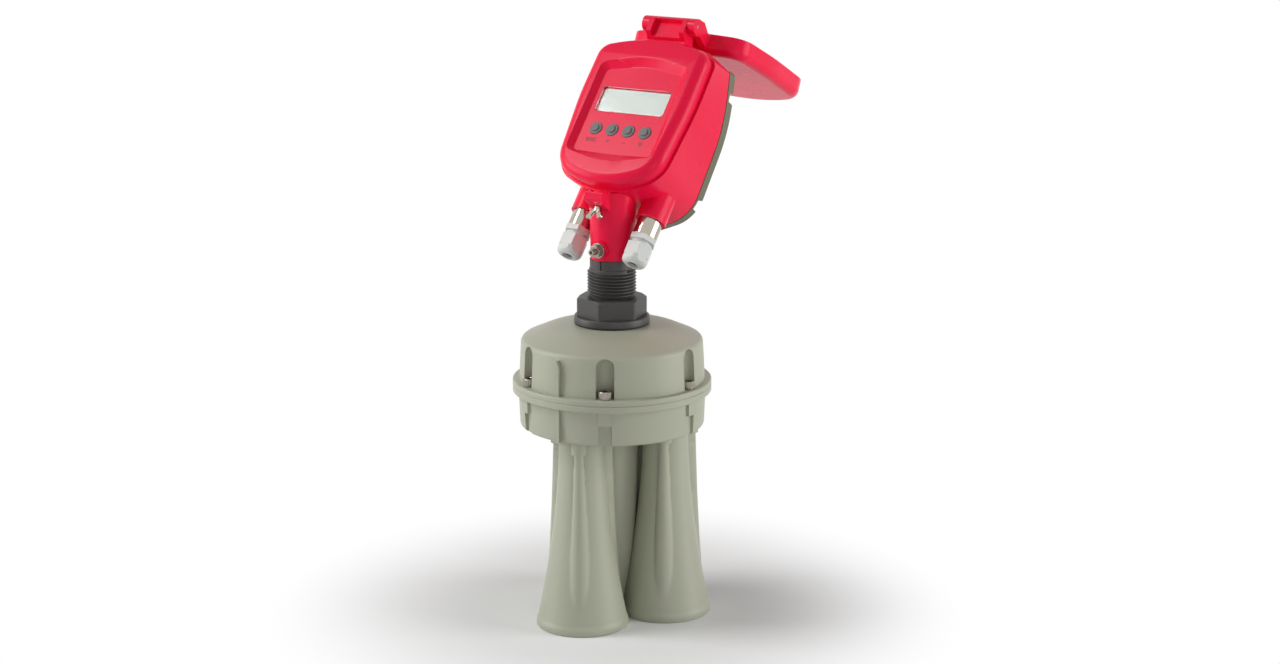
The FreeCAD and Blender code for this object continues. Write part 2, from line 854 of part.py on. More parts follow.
def make_antenna():
    make_upper_housing()
    make_lower_housing()
    groove_floor = "drum_parting - seal_groove_depth"
    inner, outer = "seal_groove_inner + seal_clearance", "seal_groove_outer - seal_clearance"
    turned("flange_seal", [
        (inner, groove_floor), (outer, groove_floor), (outer, "drum_parting"), (inner, "drum_parting"),
    ])
    bolt = make_socket_screw(
        "flange_bolt", "bolt_radius", "bolt_length", "bolt_head_radius", "bolt_head_height",
        "bolt_socket_across", "bolt_socket_depth",
    )
    bolt_seat = shift(0, "-bolt_circle_radius", "drum_parting + flange_half")
    group("flange_bolts", bolt, [turn(30 + 60 * k) * bolt_seat for k in range(6)])

    floor_top = "drum_floor + drum_floor_thickness"
    seal_top = "(%s + driver_seal_thickness)" % floor_top
    driver_top = "(%s + driver_height)" % seal_top
    for k, degrees in enumerate(HORN_TURNS, start=1):
        frame = turn(degrees) * shift(0, "-horn_axis_radius", 0)
        make_horn("horn_%d" % k, frame)
        turned("driver_seal_%d" % k, [
            ("driver_seal_inner", floor_top), ("driver_radius", floor_top),
            ("driver_radius", seal_top), ("driver_seal_inner", seal_top),
        ], frame)
        turned("driver_%d" % k, [
            ("0", seal_top), ("driver_radius", seal_top), ("driver_radius", driver_top),
            ("driver_cap_radius", driver_top), ("driver_cap_radius", driver_top + " + driver_cap_height"),
            ("0", driver_top + " + driver_cap_height"),
        ], frame)
    make_centre_post()

    screw = turned("horn_screw", [
        ("0", "boss_bottom - horn_screw_depth + lap"),
        ("horn_screw_radius", "boss_bottom - horn_screw_depth + lap"), ("horn_screw_radius", floor_top),
        ("horn_screw_head", floor_top), ("horn_screw_head", floor_top + " + horn_screw_head_height"),
        ("0", floor_top + " + horn_screw_head_height"),
    ], kept=False)
    group("horn_screws", screw, [
        turn(degrees) * shift(x, y, 0) for degrees in HORN_TURNS for x, y in horn_screw_spots()
    ])

    board_top = "signal_board_height + board_thickness"
    turned("signal_board", [
        ("0", "signal_board_height"), ("signal_board_radius", "signal_board_height"),
        ("signal_board_radius", board_top), ("0", board_top),
    ])
    pillar = turned("board_pillar", [
        ("0", floor_top), ("board_pillar_radius", floor_top),
        ("board_pillar_radius", "signal_board_height"), ("0", "signal_board_height"),
    ], kept=False)
    group("board_pillars", pillar, [
        turn(degrees) * shift(0, "board_pillar_axis", 0) for degrees in HORN_TURNS
    ])


# Process neck

def make_neck():
    body = new_body("process_neck")
    flange_bottom = "dome_top + neck_seal_thickness"
    revolve(body, [
        ("neck_bore_radius", "neck_shank_bottom"), ("neck_shank_radius", "neck_shank_bottom"),
        ("neck_shank_radius", flange_bottom), ("neck_flange_radius", flange_bottom),
        ("neck_flange_radius", "neck_flange_top", "neck_flange_round"), ("thread_radius", "neck_flange_top"),
        ("thread_radius", "thread_top", "thread_end_round"), ("neck_collar_radius", "thread_top"),
        ("neck_collar_radius", "neck_collar_top"), ("neck_spigot_radius", "neck_collar_top"),
        ("neck_spigot_radius", "neck_spigot_top"), ("neck_bore_radius", "neck_spigot_top"),
    ])
    hexagon_sketch = new_sketch(body, at=shift(z="neck_flange_top"))
    hexagon(hexagon_sketch, "neck_hex_corner", "neck_hex_turn")
    circle(hexagon_sketch, "0", "0", "neck_bore_radius")
    pad(body, hexagon_sketch, "neck_hex_top - neck_flange_top")
    revolve(body, [
        ("neck_hex_corner - hex_chamfer_width", "neck_hex_top"),
        ("neck_hex_corner + lap", "neck_hex_top - hex_chamfer_height"),
        ("neck_hex_corner + lap", "neck_hex_top"),
    ], "Groove")
    turned("neck_seal", [
        ("neck_shank_hole", "dome_top"), ("neck_seal_radius", "dome_top"),
        ("neck_seal_radius", flange_bottom), ("neck_shank_hole", flange_bottom),
    ])
    nut = new_body("neck_locknut")
    sketch = new_sketch(nut, at=shift(z="dome_inside - locknut_height"))
    hexagon(sketch, "locknut_corner")
    circle(sketch, "0", "0", "neck_shank_radius + seal_clearance")
    pad(nut, sketch, "locknut_height")
    make_harness()


def make_harness():
    """Cable from the antenna's board up the neck, bent square onto the display board."""
    reach = size("harness_bend") * math.tan(math.radians(size("90 - face_tilt")) / 2)
    corner = Vector(0, 0, size("harness_corner"))
    into_board = FACE.Rotation.multVec(UP)
    local = FACE.inverse().multVec(corner)
    board_back = size("display_board_front - board_thickness")
    start = Vector(0, 0, size("signal_board_height + board_thickness"))
    bend_in = corner - UP * reach
    bend_out = corner + into_board * reach
    finish = corner + into_board * (board_back - local.z)
    centre = bend_in + Vector(0, -size("harness_bend"), 0)
    middle = centre + (corner - centre).normalize() * size("harness_bend")
    path = Part.Wire([
        Part.LineSegment(start, bend_in).toShape(),
        Part.Arc(bend_in, middle, bend_out).toShape(),
        Part.LineSegment(bend_out, finish).toShape(),
    ])
    section = Part.Wire(Part.Circle(start, UP, size("harness_radius")).toShape())
    harness = DOC.addObject("Part::Feature", "signal_harness")
    harness.Label = "signal_harness"
    harness.Shape = path.makePipeShell([section], True, True)
    NODES.append(harness)


# Head housing

def make_head_housing():
    body = new_body("head_housing", FACE)
    to_local = FACE.inverse()
    front = new_sketch(body, at=shift(z="shoulder_depth"))
    outline(front, shield("shoulder_step"))
    rear = new_sketch(body, at=to_local * REAR)
    outline(rear, rear_shield())
    feature(body, "AdditiveLoft", front, Sections=[rear], Ruled=True)
    frame = new_sketch(body, at=shift(z="shoulder_depth - lap"))
    outline(frame, shield())
    pad(body, frame, "frame_front - shoulder_depth + lap")
    dress_edges(body, "Fillet", "frame_front_round", lambda p: abs(p.z - size("frame_front")) < 0.01)
    brow = new_sketch(body, "YZ_Plane")
    outline(brow, [
        ("brow_start", "frame_front"), ("brow_end", "frame_front - brow_drop"), ("brow_end", "frame_front"),
    ])
    pocket(body, brow, "3 * frame_side", Midplane=True)
    add_head_outgrowths(body, to_local)
    cut_head_hollow(body, to_local)
    cut_face_openings(body)
    return body


def add_head_outgrowths(body, to_local):
    neck = new_sketch(body, at=to_local * shift(z="neck_collar_top"))
    circle(neck, "0", "0", "head_neck_radius")
    neck_top = new_sketch(body, at=to_local * shift(z="head_neck_top"))
    circle(neck_top, "0", "head_neck_lean", "head_neck_top_radius")
    feature(body, "AdditiveLoft", neck, Sections=[neck_top], Ruled=True)
    bosses = new_sketch(body, "XZ_Plane", shift(z="gland_boss_root"))
    for side in ("-", ""):
        circle(bosses, side + "gland_spacing/2", "gland_boss_depth", "gland_boss_radius")
    pad(body, bosses, "gland_boss_end - gland_boss_root")
    latch = new_sketch(body, "YZ_Plane")
    outline(latch, [
        ("latch_root", "latch_foot"), ("latch_root", "latch_shoulder"), ("latch_throat", "latch_shoulder"),
        ("latch_brow", "latch_brow_rise", "latch_brow_round"),
        ("latch_face", "latch_nose", "latch_nose_round"), ("latch_face", "latch_heel"),
        ("latch_underside", "latch_foot"),
    ])
    pad(body, latch, "latch_width", Midplane=True)
    ground = new_sketch(body, at=to_local * shift(0, "ground_boss_root", "ground_height") * DOWN_FACE)
    circle(ground, "0", "0", "ground_boss_radius")
    pad(body, ground, "ground_boss_root - ground_boss_face")
    bracket = new_sketch(body, "YZ_Plane")
    outline(bracket, [
        ("bracket_root", "bracket_foot"), ("bracket_root", "bracket_shoulder"),
        ("bracket_front", "bracket_shoulder"), ("bracket_knee", "hinge_depth + hinge_round"),
        ("hinge_rise + hinge_round", "hinge_depth + hinge_round", "knuckle_round"),
        ("hinge_rise + hinge_round", "hinge_depth - hinge_round", "knuckle_round"),
        ("bracket_back", "bracket_back_depth"),
    ])
    pad(body, bracket, "bracket_width", Midplane=True)


def cut_head_hollow(body, to_local):
    front = new_sketch(body, at=shift(z="-face_wall"))
    outline(front, shield("-face_side_wall"))
    rear = new_sketch(body, at=to_local * REAR * shift(z="-lap"))
    outline(rear, rear_shield("-housing_wall"))
    feature(body, "SubtractiveLoft", front, Sections=[rear], Ruled=True)
    socket = new_sketch(body, at=to_local * shift(z="neck_collar_top"))
    circle(socket, "0", "0", "head_socket_radius")
    pocket(body, socket, "head_socket_depth", Reversed=True)
    bore = new_sketch(body, at=to_local * shift(z="neck_collar_top"))
    circle(bore, "0", "0", "head_bore_radius")
    pocket(body, bore, "head_neck_top - neck_collar_top + head_bore_over", Reversed=True)
    gland_bores = new_sketch(body, "XZ_Plane", shift(z="gland_boss_end"))
    for side in ("-", ""):
        circle(gland_bores, side + "gland_spacing/2", "gland_boss_depth", "gland_bore_radius")
    pocket(body, gland_bores, "gland_boss_end - gland_boss_root + gland_bore_over")
    screw_hole = new_sketch(body, "XZ_Plane", shift(z="-latch_face"))
    circle(screw_hole, "0", "latch_screw_depth", "wing_shank_hole")
    pocket(body, screw_hole, "wing_shank_length + lap")
    stud_hole = new_sketch(
        body, at=to_local * shift(0, "ground_boss_face", "ground_height") * DOWN_FACE)
    circle(stud_hole, "0", "0", "stud_hole")
    pocket(body, stud_hole, "stud_root - ground_boss_face")
    pin_hole = new_sketch(body, "YZ_Plane")
    circle(pin_hole, "hinge_rise", "hinge_depth", "pin_radius + pin_fit/2")
    pocket(body, pin_hole, "bracket_width + 2*lap", Midplane=True)
    bracket_window = new_sketch(body, at=shift(z="hinge_depth + hinge_round"))
    box(bracket_window, "-bracket_window_width/2", "bracket_window_low", "bracket_window_width/2",
        "bracket_window_high", "bracket_window_round")
    pocket(body, bracket_window, "bracket_window_depth")
    screw_bosses = new_sketch(body, at=to_local * REAR)
    for x, y in rear_screw_spots():
        circle(screw_bosses, x, y, "rear_screw_boss")
    pad(body, screw_bosses, "rear_screw_boss_depth")
    screw_holes = new_sketch(body, at=to_local * REAR)
    for x, y in rear_screw_spots():
        circle(screw_holes, x, y, "rear_screw_hole")
    pocket(body, screw_holes, "rear_screw_length - rear_notch_floor", Reversed=True)


def rear_screw_spots():
    return [
        (side + across, height)
        for across, height in (
            ("rear_screw_side", "rear_screw_side_height"), ("rear_screw_low", "rear_screw_low_height"))
        for side in ("-", "")
    ]


def corner_spots(across, high, low):
    return [(side + across, height) for height in (high, low) for side in ("-", "")]


def recess_outline(level):
    """The display recess at its floor or at its crest; its lower edge bows down as a finger scoop."""
    corner = level + "_corner_round"
    side = level + "_side"
    half = [(side, level + "_bottom_corner", corner), (side, level + "_top_corner", corner)]
    return mirrored(
        ("0", level + "_bottom", level + "_chin_round"), half, ("0", level + "_top", "recess_brow_round"))


def cut_face_openings(body):
    """The recess with its sloped walls, then the window's seat, the sight opening and the key holes."""
    floor = new_sketch(body)
    outline(floor, recess_outline("floor"))
    crest = new_sketch(body, at=shift(z="frame_front"))
    outline(crest, recess_outline("crest"))
    feature(body, "SubtractiveLoft", floor, Sections=[crest], Ruled=True)
    rebate = new_sketch(body)
    half_width, half_height = "(window_width/2 + window_gap)", "(window_height/2 + window_gap)"
    box(rebate, "-" + half_width, "window_centre - " + half_height, half_width,
        "window_centre + " + half_height, "window_round + window_gap")
    pocket(body, rebate, "window_thickness")
    openings = new_sketch(body)
    box(openings, "-sight_width/2", "window_centre - sight_height/2", "sight_width/2",
        "window_centre + sight_height/2", "sight_round")
    for k in range(4):
        circle(openings, "key_pitch * %.1f" % (k - 1.5), "key_row", "key_hole_radius")
    pocket(body, openings, "face_wall + lap")
    posts = new_sketch(body, at=shift(z="display_board_front"))
    for x, y in corner_spots("display_post_side", "display_post_high", "display_post_low"):
        circle(posts, x, y, "display_post_radius")
    pad(body, posts, "-display_board_front - face_wall + lap/2")


# Pieces on and behind the display face

def make_face_pieces():
    body = new_body("display_window", FACE)
    sketch = new_sketch(body, at=shift(z="-window_thickness"))
    box(sketch, "-window_width/2", "window_centre - window_height/2", "window_width/2",
        "window_centre + window_height/2", "window_round")
    pad(body, sketch, "window_thickness")
    slab("display_module", rectangle(
        "-window_width/2", "window_centre - window_height/2", "window_width/2",
        "window_centre + window_height/2",
    ), "display_board_front", "-face_wall - display_module_gap", FACE)
    board_back = "display_board_front - board_thickness"
    slab("display_board", [
        ("-display_tongue_half", "display_tongue_bottom"), ("display_tongue_half", "display_tongue_bottom"),
        ("display_tongue_half", "display_board_bottom"), ("display_board_half", "display_board_bottom"),
        ("display_board_half", "display_board_top"), ("-display_board_half", "display_board_top"),
        ("-display_board_half", "display_board_bottom"), ("-display_tongue_half", "display_board_bottom"),
    ], board_back, "display_board_front", FACE)
    key_places = [FACE * shift("key_pitch * %.1f" % (k - 1.5), "key_row", 0) for k in range(4)]
    for k, place in enumerate(key_places, start=1):
        turned("key_%d" % k, [
            ("0", "key_stem_bottom"), ("key_stem_radius", "key_stem_bottom"),
            ("key_stem_radius", "key_flange_bottom"), ("key_flange_radius", "key_flange_bottom"),
            ("key_flange_radius", "key_flange_top"), ("key_radius", "key_flange_top"),
            ("key_radius", "key_rise - key_edge"), ("key_radius - key_edge", "key_rise"),
            ("key_nub_radius", "key_rise"), ("key_nub_radius - key_nub_edge", "key_nub_rise"),
            ("0", "key_nub_rise"),
        ], place)
    dome = turned("key_dome", [
        ("0", "display_board_front"), ("dome_radius", "display_board_front"),
        ("dome_radius - dome_edge", "display_board_front + dome_height"),
        ("0", "display_board_front + dome_height"),
    ], kept=False)
    group("key_domes", dome, key_places)
    spacer = turned("board_spacer", [
        ("0", "main_board_front"), ("spacer_radius", "main_board_front"),
        ("spacer_radius", board_back), ("0", board_back),
    ], kept=False)
    group("board_spacers", spacer, [
        FACE * shift(x, y, 0) for x, y in corner_spots("spacer_side", "spacer_high", "spacer_low")
    ])
    main_back = "(main_board_front - board_thickness)"
    slab("main_board", rectangle(
        "-main_board_half", "main_board_bottom", "main_board_half", "main_board_top",
    ), main_back, "main_board_front", FACE)
    for label, stem in (("terminal_block", "terminal"), ("supply_module", "supply")):
        slab(label, rectangle(
            "-%s_width/2" % stem, "%s_row - %s_height/2" % (stem, stem),
            "%s_width/2" % stem, "%s_row + %s_height/2" % (stem, stem),
        ), main_back + " - %s_depth" % stem, main_back, FACE)


# Flip cover and its pin

def make_flip_cover():
    body = new_body("flip_cover", OPENED * FACE)
    shell = new_sketch(body, at=shift(z="cover_rim"))
    outline(shell, shield("shoulder_step"))
    pad(body, shell, "cover_outside - cover_rim")
    dress_edges(body, "Fillet", "cover_edge_round", lambda p: abs(p.z - size("cover_outside")) < 0.01)
    hollow = new_sketch(body, at=shift(z="cover_rim"))
    outline(hollow, shield("cover_gap"))
    pocket(body, hollow, "cover_inside - cover_rim", Reversed=True)
    inner_edge = size("cover_inside")
    dress_edges(body, "Fillet", "cover_inner_round", lambda p: abs(p.z - inner_edge) < 0.01)
    for side in (1, -1):
        arm = new_sketch(
            body, "YZ_Plane", shift(z="%d * (bracket_width/2 + arm_gap + arm_width/2)" % side))
        outline(arm, [
            ("arm_root", "cover_rim"), ("arm_root", "arm_root_top"),
            ("arm_knee", "hinge_depth + hinge_round"),
            ("hinge_rise + hinge_round", "hinge_depth + hinge_round", "knuckle_round"),
            ("hinge_rise + hinge_round", "hinge_depth - hinge_round", "knuckle_round"),
            ("arm_back", "hinge_depth - hinge_round"), ("arm_heel", "cover_rim"),
        ])
        pad(body, arm, "arm_width", Midplane=True)
    bore = new_sketch(body, "YZ_Plane")
    circle(bore, "hinge_rise", "hinge_depth", "pin_radius + pin_fit")
    pocket(body, bore, "pin_length + arm_bore_over", Midplane=True)
    pin = new_body("hinge_pin", HINGE)
    section = new_sketch(pin, "YZ_Plane")
    circle(section, "0", "0", "pin_radius")
    pad(pin, section, "pin_length", Midplane=True)


# Rear cover, gasket and screws

def make_rear():
    gasket = new_body("rear_gasket", REAR)
    sketch = new_sketch(gasket, at=shift(z="-rear_gasket_thickness"))
    outline(sketch, rear_shield("-rear_gasket_inset"))
    outline(sketch, rear_shield("-rear_gasket_inset - rear_gasket_width"))
    pad(gasket, sketch, "rear_gasket_thickness")
    cover = new_body("rear_cover", REAR)
    outer = "-rear_gasket_thickness - rear_cover_thickness"
    plate = new_sketch(cover, at=shift(z=outer))
    outline(plate, rear_shield())
    pad(cover, plate, "rear_cover_thickness")
    dress_edges(cover, "Fillet", "rear_cover_edge", lambda p: abs(p.z - size(outer)) < 0.01)
    hollow = new_sketch(cover, at=shift(z="-rear_gasket_thickness"))
    outline(hollow, rear_shield("-rear_cover_land"))
    pocket(cover, hollow, "rear_cover_hollow")
    seat = "-rear_gasket_thickness - rear_notch_floor"
    for x, y in rear_screw_spots():
        on_left = x.startswith("-")
        near = "%s + rear_notch_inner" % x if on_left else "%s - rear_notch_inner" % x
        notch = new_sketch(cover, "YZ_Plane", shift(z=near))
        top, bottom = y + " + rear_notch_width/2", y + " - rear_notch_width/2"
        outline(notch, [
            (bottom + " - rear_notch_slope", outer), (top, outer), (top, seat), (bottom, seat),
        ])
        pocket(cover, notch, "rear_notch_inner + rear_notch_outer", Reversed=not on_left)
    holes = new_sketch(cover, at=shift(z="-rear_gasket_thickness"))
    for x, y in rear_screw_spots():
        circle(holes, x, y, "rear_screw_hole")
    pocket(cover, holes, "rear_cover_thickness")
    screw = turned("rear_screw", [
        ("0", "0"), ("rear_screw_head", "0"), ("rear_screw_head", "rear_screw_head_height/2"),
        ("rear_screw_head - rear_screw_dome", "rear_screw_head_height"), ("0", "rear_screw_head_height"),
    ], kept=False)
    shank = new_sketch(screw)
    circle(shank, "0", "0", "rear_screw_radius")
    pad(screw, shank, "rear_screw_length", Reversed=True)
    group("rear_screws", screw, [
        REAR * shift(x, y, seat) * turn(180, ACROSS) for x, y in rear_screw_spots()
    ])


# Cable glands

def make_gland(side, sign):
    frame = FACE * shift("%d * gland_spacing/2" % sign, "-gland_boss_end", "gland_boss_depth") * DOWN_FACE
    turned("gland_adapter_" + side, [
        ("adapter_bore", "-adapter_thread_length"), ("adapter_thread", "-adapter_thread_length"),
        ("adapter_thread", "0"), ("adapter_radius", "0"), ("adapter_radius", "adapter_length"),
        ("adapter_bore", "adapter_length"),
    ], frame)
    neck = "(adapter_length + gland_flange)"
    seat = "(%s + gland_neck)" % neck
    stem_top = "(%s + gland_stem)" % seat
    body = turned("gland_body_" + side, [
        ("gland_body_bore", "adapter_length"), ("gland_neck_radius", "adapter_length"),
        ("gland_neck_radius", seat), ("gland_stem_radius", seat), ("gland_stem_radius", stem_top),
        ("gland_body_bore", stem_top),
    ], frame)
    flange = new_sketch(body, at=shift(z="adapter_length"))
    hexagon(flange, "gland_hex_corner")
    circle(flange, "0", "0", "gland_body_bore")
    pad(body, flange, "gland_flange")
    seal_top = "(%s + gland_seal_length)" % stem_top
    turned("gland_seal_" + side, [
        ("gland_seal_bore", stem_top), ("gland_seal_radius", stem_top),
        ("gland_seal_tip", seal_top), ("gland_seal_bore", seal_top),
    ], frame)
    nut = new_body("gland_nut_" + side, frame)
    nut_top = "(%s + nut_length)" % seat
    sketch = new_sketch(nut, at=shift(z=seat))
    hexagon(sketch, "gland_hex_corner")
    pad(nut, sketch, "nut_length")
    dome_start = seat + " + nut_dome_start"
    revolve(nut, [
        ("gland_hex_corner + lap", dome_start), ("nut_dome_radius", dome_start),
        ("nut_dome_radius", nut_top, "nut_dome_round"), ("nut_end_radius", nut_top),
        ("nut_end_radius", nut_top + " + lap"), ("gland_hex_corner + lap", nut_top + " + lap"),
    ], "Groove")
    revolve(nut, [
        ("0", seat), ("nut_bore_radius", seat), ("nut_bore_radius", stem_top),
        ("nut_cone_radius", seal_top), ("nut_mouth_radius", seal_top), ("nut_mouth_radius", nut_top),
        ("0", nut_top),
    ], "Groove")


# Wing screw and ground terminal

def make_small_fittings():
    frame = FACE * shift(0, "latch_face", "latch_screw_depth") * DOWN_FACE * turn(size("wing_turn"))
    body = turned("wing_screw", [
        ("0", "-wing_shank_length"), ("wing_shank_radius", "-wing_shank_length"),
        ("wing_shank_radius", "wing_gap"), ("wing_hub_radius", "wing_gap"),
        ("wing_hub_tip", "wing_hub_length"), ("0", "wing_hub_length"),
    ], frame)
    for side in ("", "-"):
        wing = new_sketch(body, "XZ_Plane")
        corners = [
            (side + "wing_root", "wing_foot"), (side + "wing_shoulder", "wing_foot"),
            (side + "(wing_span/2)", "wing_drop - wing_tip_drop", "wing_round"),
            (side + "(wing_span/2 - wing_tip_width)", "wing_drop", "wing_round"),
            (side + "wing_root", "wing_hub_length - screw_edge"),
        ]
        outline(wing, corners)
        pad(body, wing, "wing_thickness", Midplane=True)

    ground = shift(0, 0, "ground_height") * DOWN_FACE
    tip, root, face = "-stud_tip", "-stud_root", "-ground_boss_face"
    stud = turned("ground_stud", [
        ("0", root), ("stud_radius", root), ("stud_radius", tip), ("0", tip),
    ], ground)
    socket = new_sketch(stud, at=shift(z=tip))
    hexagon(socket, "stud_socket_across / sqrt(3)")
    pocket(stud, socket, "stud_socket_depth")
    washer_top = "(%s + washer_thickness)" % face
    turned("ground_washer", [
        ("stud_hole", face), ("washer_radius", face), ("washer_radius", washer_top),
        ("stud_hole", washer_top),
    ], ground)
    nut = new_body("ground_nut", ground)
    sketch = new_sketch(nut, at=shift(z=washer_top))
    hexagon(sketch, "ground_nut_corner", "ground_nut_turn")
    circle(sketch, "0", "0", "stud_hole")
    pad(nut, sketch, "ground_nut_height")


# Checks and files

def check_model():
    for item in DOC.Objects:
        if "Invalid" in item.State or "Error" in item.State:
            raise ValueError("%s failed: %s" % (item.Label, item.State))
    for node in NODES:
        if node.Shape.isNull() or not node.Shape.isValid():
            raise ValueError("%s has no valid shape" % node.Label)


def main():
    make_antenna()
    make_neck()
    make_head_housing()
    make_face_pieces()
    make_flip_cover()
    make_rear()
    make_gland("left", -1)
    make_gland("right", 1)
    make_small_fittings()
    DOC.recompute()
    check_model()
    os.makedirs("parts", exist_ok=True)
    for node in NODES:
        node.Shape.exportStep("parts/%s.step" % node.Label)


main()
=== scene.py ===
import bmesh
import bpy
import json
import math
import numpy as np
from bpy.props import FloatProperty, FloatVectorProperty, IntProperty, PointerProperty
from mathutils import Matrix, Vector


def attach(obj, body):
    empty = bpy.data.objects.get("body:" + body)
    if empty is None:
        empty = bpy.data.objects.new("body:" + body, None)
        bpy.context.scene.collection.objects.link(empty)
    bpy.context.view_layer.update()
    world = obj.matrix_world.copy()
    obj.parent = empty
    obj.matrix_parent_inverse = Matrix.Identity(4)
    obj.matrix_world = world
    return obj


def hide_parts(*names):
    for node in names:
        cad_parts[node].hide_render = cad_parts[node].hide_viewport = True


bl_info = {
    "name": "Level scanner finishes",
    "version": (1, 0, 0),
    "blender": (4, 5, 0),
    "location": "View3D > Sidebar > Scanner",
    "description": "Dresses the solids of a three-dimensional level scanner and lights them",
    "category": "Object",
}

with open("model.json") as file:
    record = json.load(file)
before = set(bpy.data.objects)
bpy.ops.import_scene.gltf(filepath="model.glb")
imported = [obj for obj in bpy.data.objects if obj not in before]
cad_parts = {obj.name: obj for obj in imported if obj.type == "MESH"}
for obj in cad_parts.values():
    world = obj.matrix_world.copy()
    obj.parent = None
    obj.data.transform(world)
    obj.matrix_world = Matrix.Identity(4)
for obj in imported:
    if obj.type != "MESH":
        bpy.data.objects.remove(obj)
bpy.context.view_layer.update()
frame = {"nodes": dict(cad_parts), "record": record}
NODES = frame["nodes"]
MM = 0.001

# Frames of the display face and of the rear cover, as in the solids
FACE = Matrix.Translation((0, 18.5 * MM, 484.5 * MM)) @ Matrix.Rotation(math.radians(50), 4, "X")
REAR = Matrix.Translation((0, 95 * MM, 480 * MM)) @ Matrix.Rotation(math.radians(70), 4, "X")


def linear(code):
    """A colour written as sRGB hex, in linear light."""
    parts = [int(code[i:i + 2], 16) / 255 for i in (1, 3, 5)]
    return tuple(c / 12.92 if c <= 0.04045 else ((c + 0.055) / 1.055) ** 2.4 for c in parts)


def paint(name, description, code):
    """A colour property whose default is written as sRGB hex."""
    return FloatVectorProperty(name=name, description=description, subtype="COLOR", default=linear(code))


def length(name, description, millimetres):
    """A length property whose default is given in millimetres."""
    return FloatProperty(name=name, description=description, unit="LENGTH", default=millimetres * MM)


class ScannerSizes(bpy.types.PropertyGroup):
    """Sizes of the fine forms that the solids leave out."""
    thread_pitch: length("Thread pitch", "Rise of the pipe thread in one turn", 3.175)
    thread_depth: length("Thread depth", "Height of the thread above its root", 1.9)
    pillar_blend: length("Pillar blend", "Softness of the joint between horn and pillar", 0.7)
    legend_height: length("Legend height", "Height of the key legends", 4.0)
    knurl_depth: length("Knurl depth", "Depth of the knurl on the flange bolts", 0.35)
    bolt_count: IntProperty(name="Flange bolts", description="Bolts round the drum's flange", default=6)


class ScannerColours(bpy.types.PropertyGroup):
    """Colours of the finishes."""
    red: paint("Head", "Powder coat of the head and its cover", "#F41244")
    olive: paint("Rear cover", "Powder coat of the rear cover", "#66664F")
    drum: paint("Drum and horns", "Moulded plastic of the antenna", "#AAAC99")
    neck: paint("Neck", "Moulded plastic of the process neck", "#32302D")
    steel: paint("Steel", "Stainless steel of screws and pins", "#9A948A")
    nickel: paint("Nickel", "Plating of the gland adapters and the wing screw", "#B4ADA0")
    gland: paint("Glands", "Polyamide of the cable glands", "#D3D6D2")
    rubber: paint("Seals", "Black rubber of the seals", "#1B1B1C")
    key: paint("Keys", "Silicone rubber of the keys", "#6A6B6B")
    window: paint("Window", "Clear plastic over the display", "#F4F7F5")
    display: paint("Display", "Blank face of the display", "#D6D9D7")
    board: paint("Boards", "Solder mask of the circuit boards", "#1D5B36")
    driver: paint("Drivers", "Aluminium of the transducers", "#B4B6B8")
    module: paint("Modules", "Plastic of the terminal and supply blocks", "#223027")
    jacket: paint("Harness", "Jacket of the inner cable", "#202022")
    legend: paint("Legends", "Ink of the key legends", "#5A0A1E")


# Materials

MIXED_COLOUR = 2    # the colour output of a Mix node


def add(tree, kind, values=None, **settings):
    """One node with its settings; a value that is a socket is linked, any other is set."""
    made = tree.nodes.new(kind)
    for name, setting in settings.items():
        setattr(made, name, setting)
    for name, value in (values or {}).items():
        if isinstance(value, bpy.types.NodeSocket):
            tree.links.new(value, made.inputs[name])
        else:
            made.inputs[name].default_value = value
    return made


def cleared(owner):
    """The empty node tree of a material or a world."""
    owner.use_nodes = True
    owner.node_tree.nodes.clear()
    return owner.node_tree


def finish(name, colour, shift, patch, roughness, spread, grain, depth, **shader):
    """A finish whose colour and gloss drift over patches and whose grain is raised, in millimetres."""
    material = bpy.data.materials.new(name)
    tree = cleared(material)
    place = add(tree, "ShaderNodeTexCoord").outputs["Object"]
    patches = add(tree, "ShaderNodeTexNoise", {"Vector": place, "Scale": 1 / (patch * MM), "Detail": 3.0})
    dark = [max(0.0, c * (1 - shift)) for c in colour]
    light = [min(1.0, c * (1 + shift)) for c in colour]
    drift = add(tree, "ShaderNodeMix", {
        "Factor": patches.outputs["Fac"], "A": (*dark, 1), "B": (*light, 1)}, data_type="RGBA")
    gloss = add(tree, "ShaderNodeMapRange", {
        "Value": patches.outputs["Fac"], "To Min": roughness - spread, "To Max": roughness + spread})
    fine = add(tree, "ShaderNodeTexNoise", {"Vector": place, "Scale": 1 / (grain * MM), "Detail": 2.0})
    relief = add(tree, "ShaderNodeBump", {
        "Height": fine.outputs["Fac"], "Strength": 1.0, "Distance": depth * MM})
    values = {
        "Base Color": drift.outputs[MIXED_COLOUR], "Roughness": gloss.outputs["Result"],
        "Normal": relief.outputs["Normal"]}
    values.update({key.replace("_", " "): value for key, value in shader.items()})
    body = add(tree, "ShaderNodeBsdfPrincipled", values)
    add(tree, "ShaderNodeOutputMaterial", {"Surface": body.outputs["BSDF"]})
    return material


def red_powder_coat(colours):
    """Sprayed and baked polyester: a deep even red with a soft gloss and a faint orange-peel skin."""
    return finish(
        "Red powder coat on cast aluminium", colours.red, shift=0.03, patch=60,
        roughness=0.27, spread=0.03, grain=1.4, depth=0.008, Specular_IOR_Level=0.16)


def olive_powder_coat(colours):
    """The same baked coat with a flatter sheen."""
    return finish(
        "Olive powder coat on cast aluminium", colours.olive, shift=0.05, patch=45,
        roughness=0.5, spread=0.05, grain=1.0, depth=0.02)


def moulded_polypropylene(colours):
    """Thick moulded plastic: satin, with slow flow marks and the mould's fine sparked grain."""
    return finish(
        "Moulded polypropylene", colours.drum, shift=0.035, patch=55,
        roughness=0.46, spread=0.05, grain=0.9, depth=0.012)


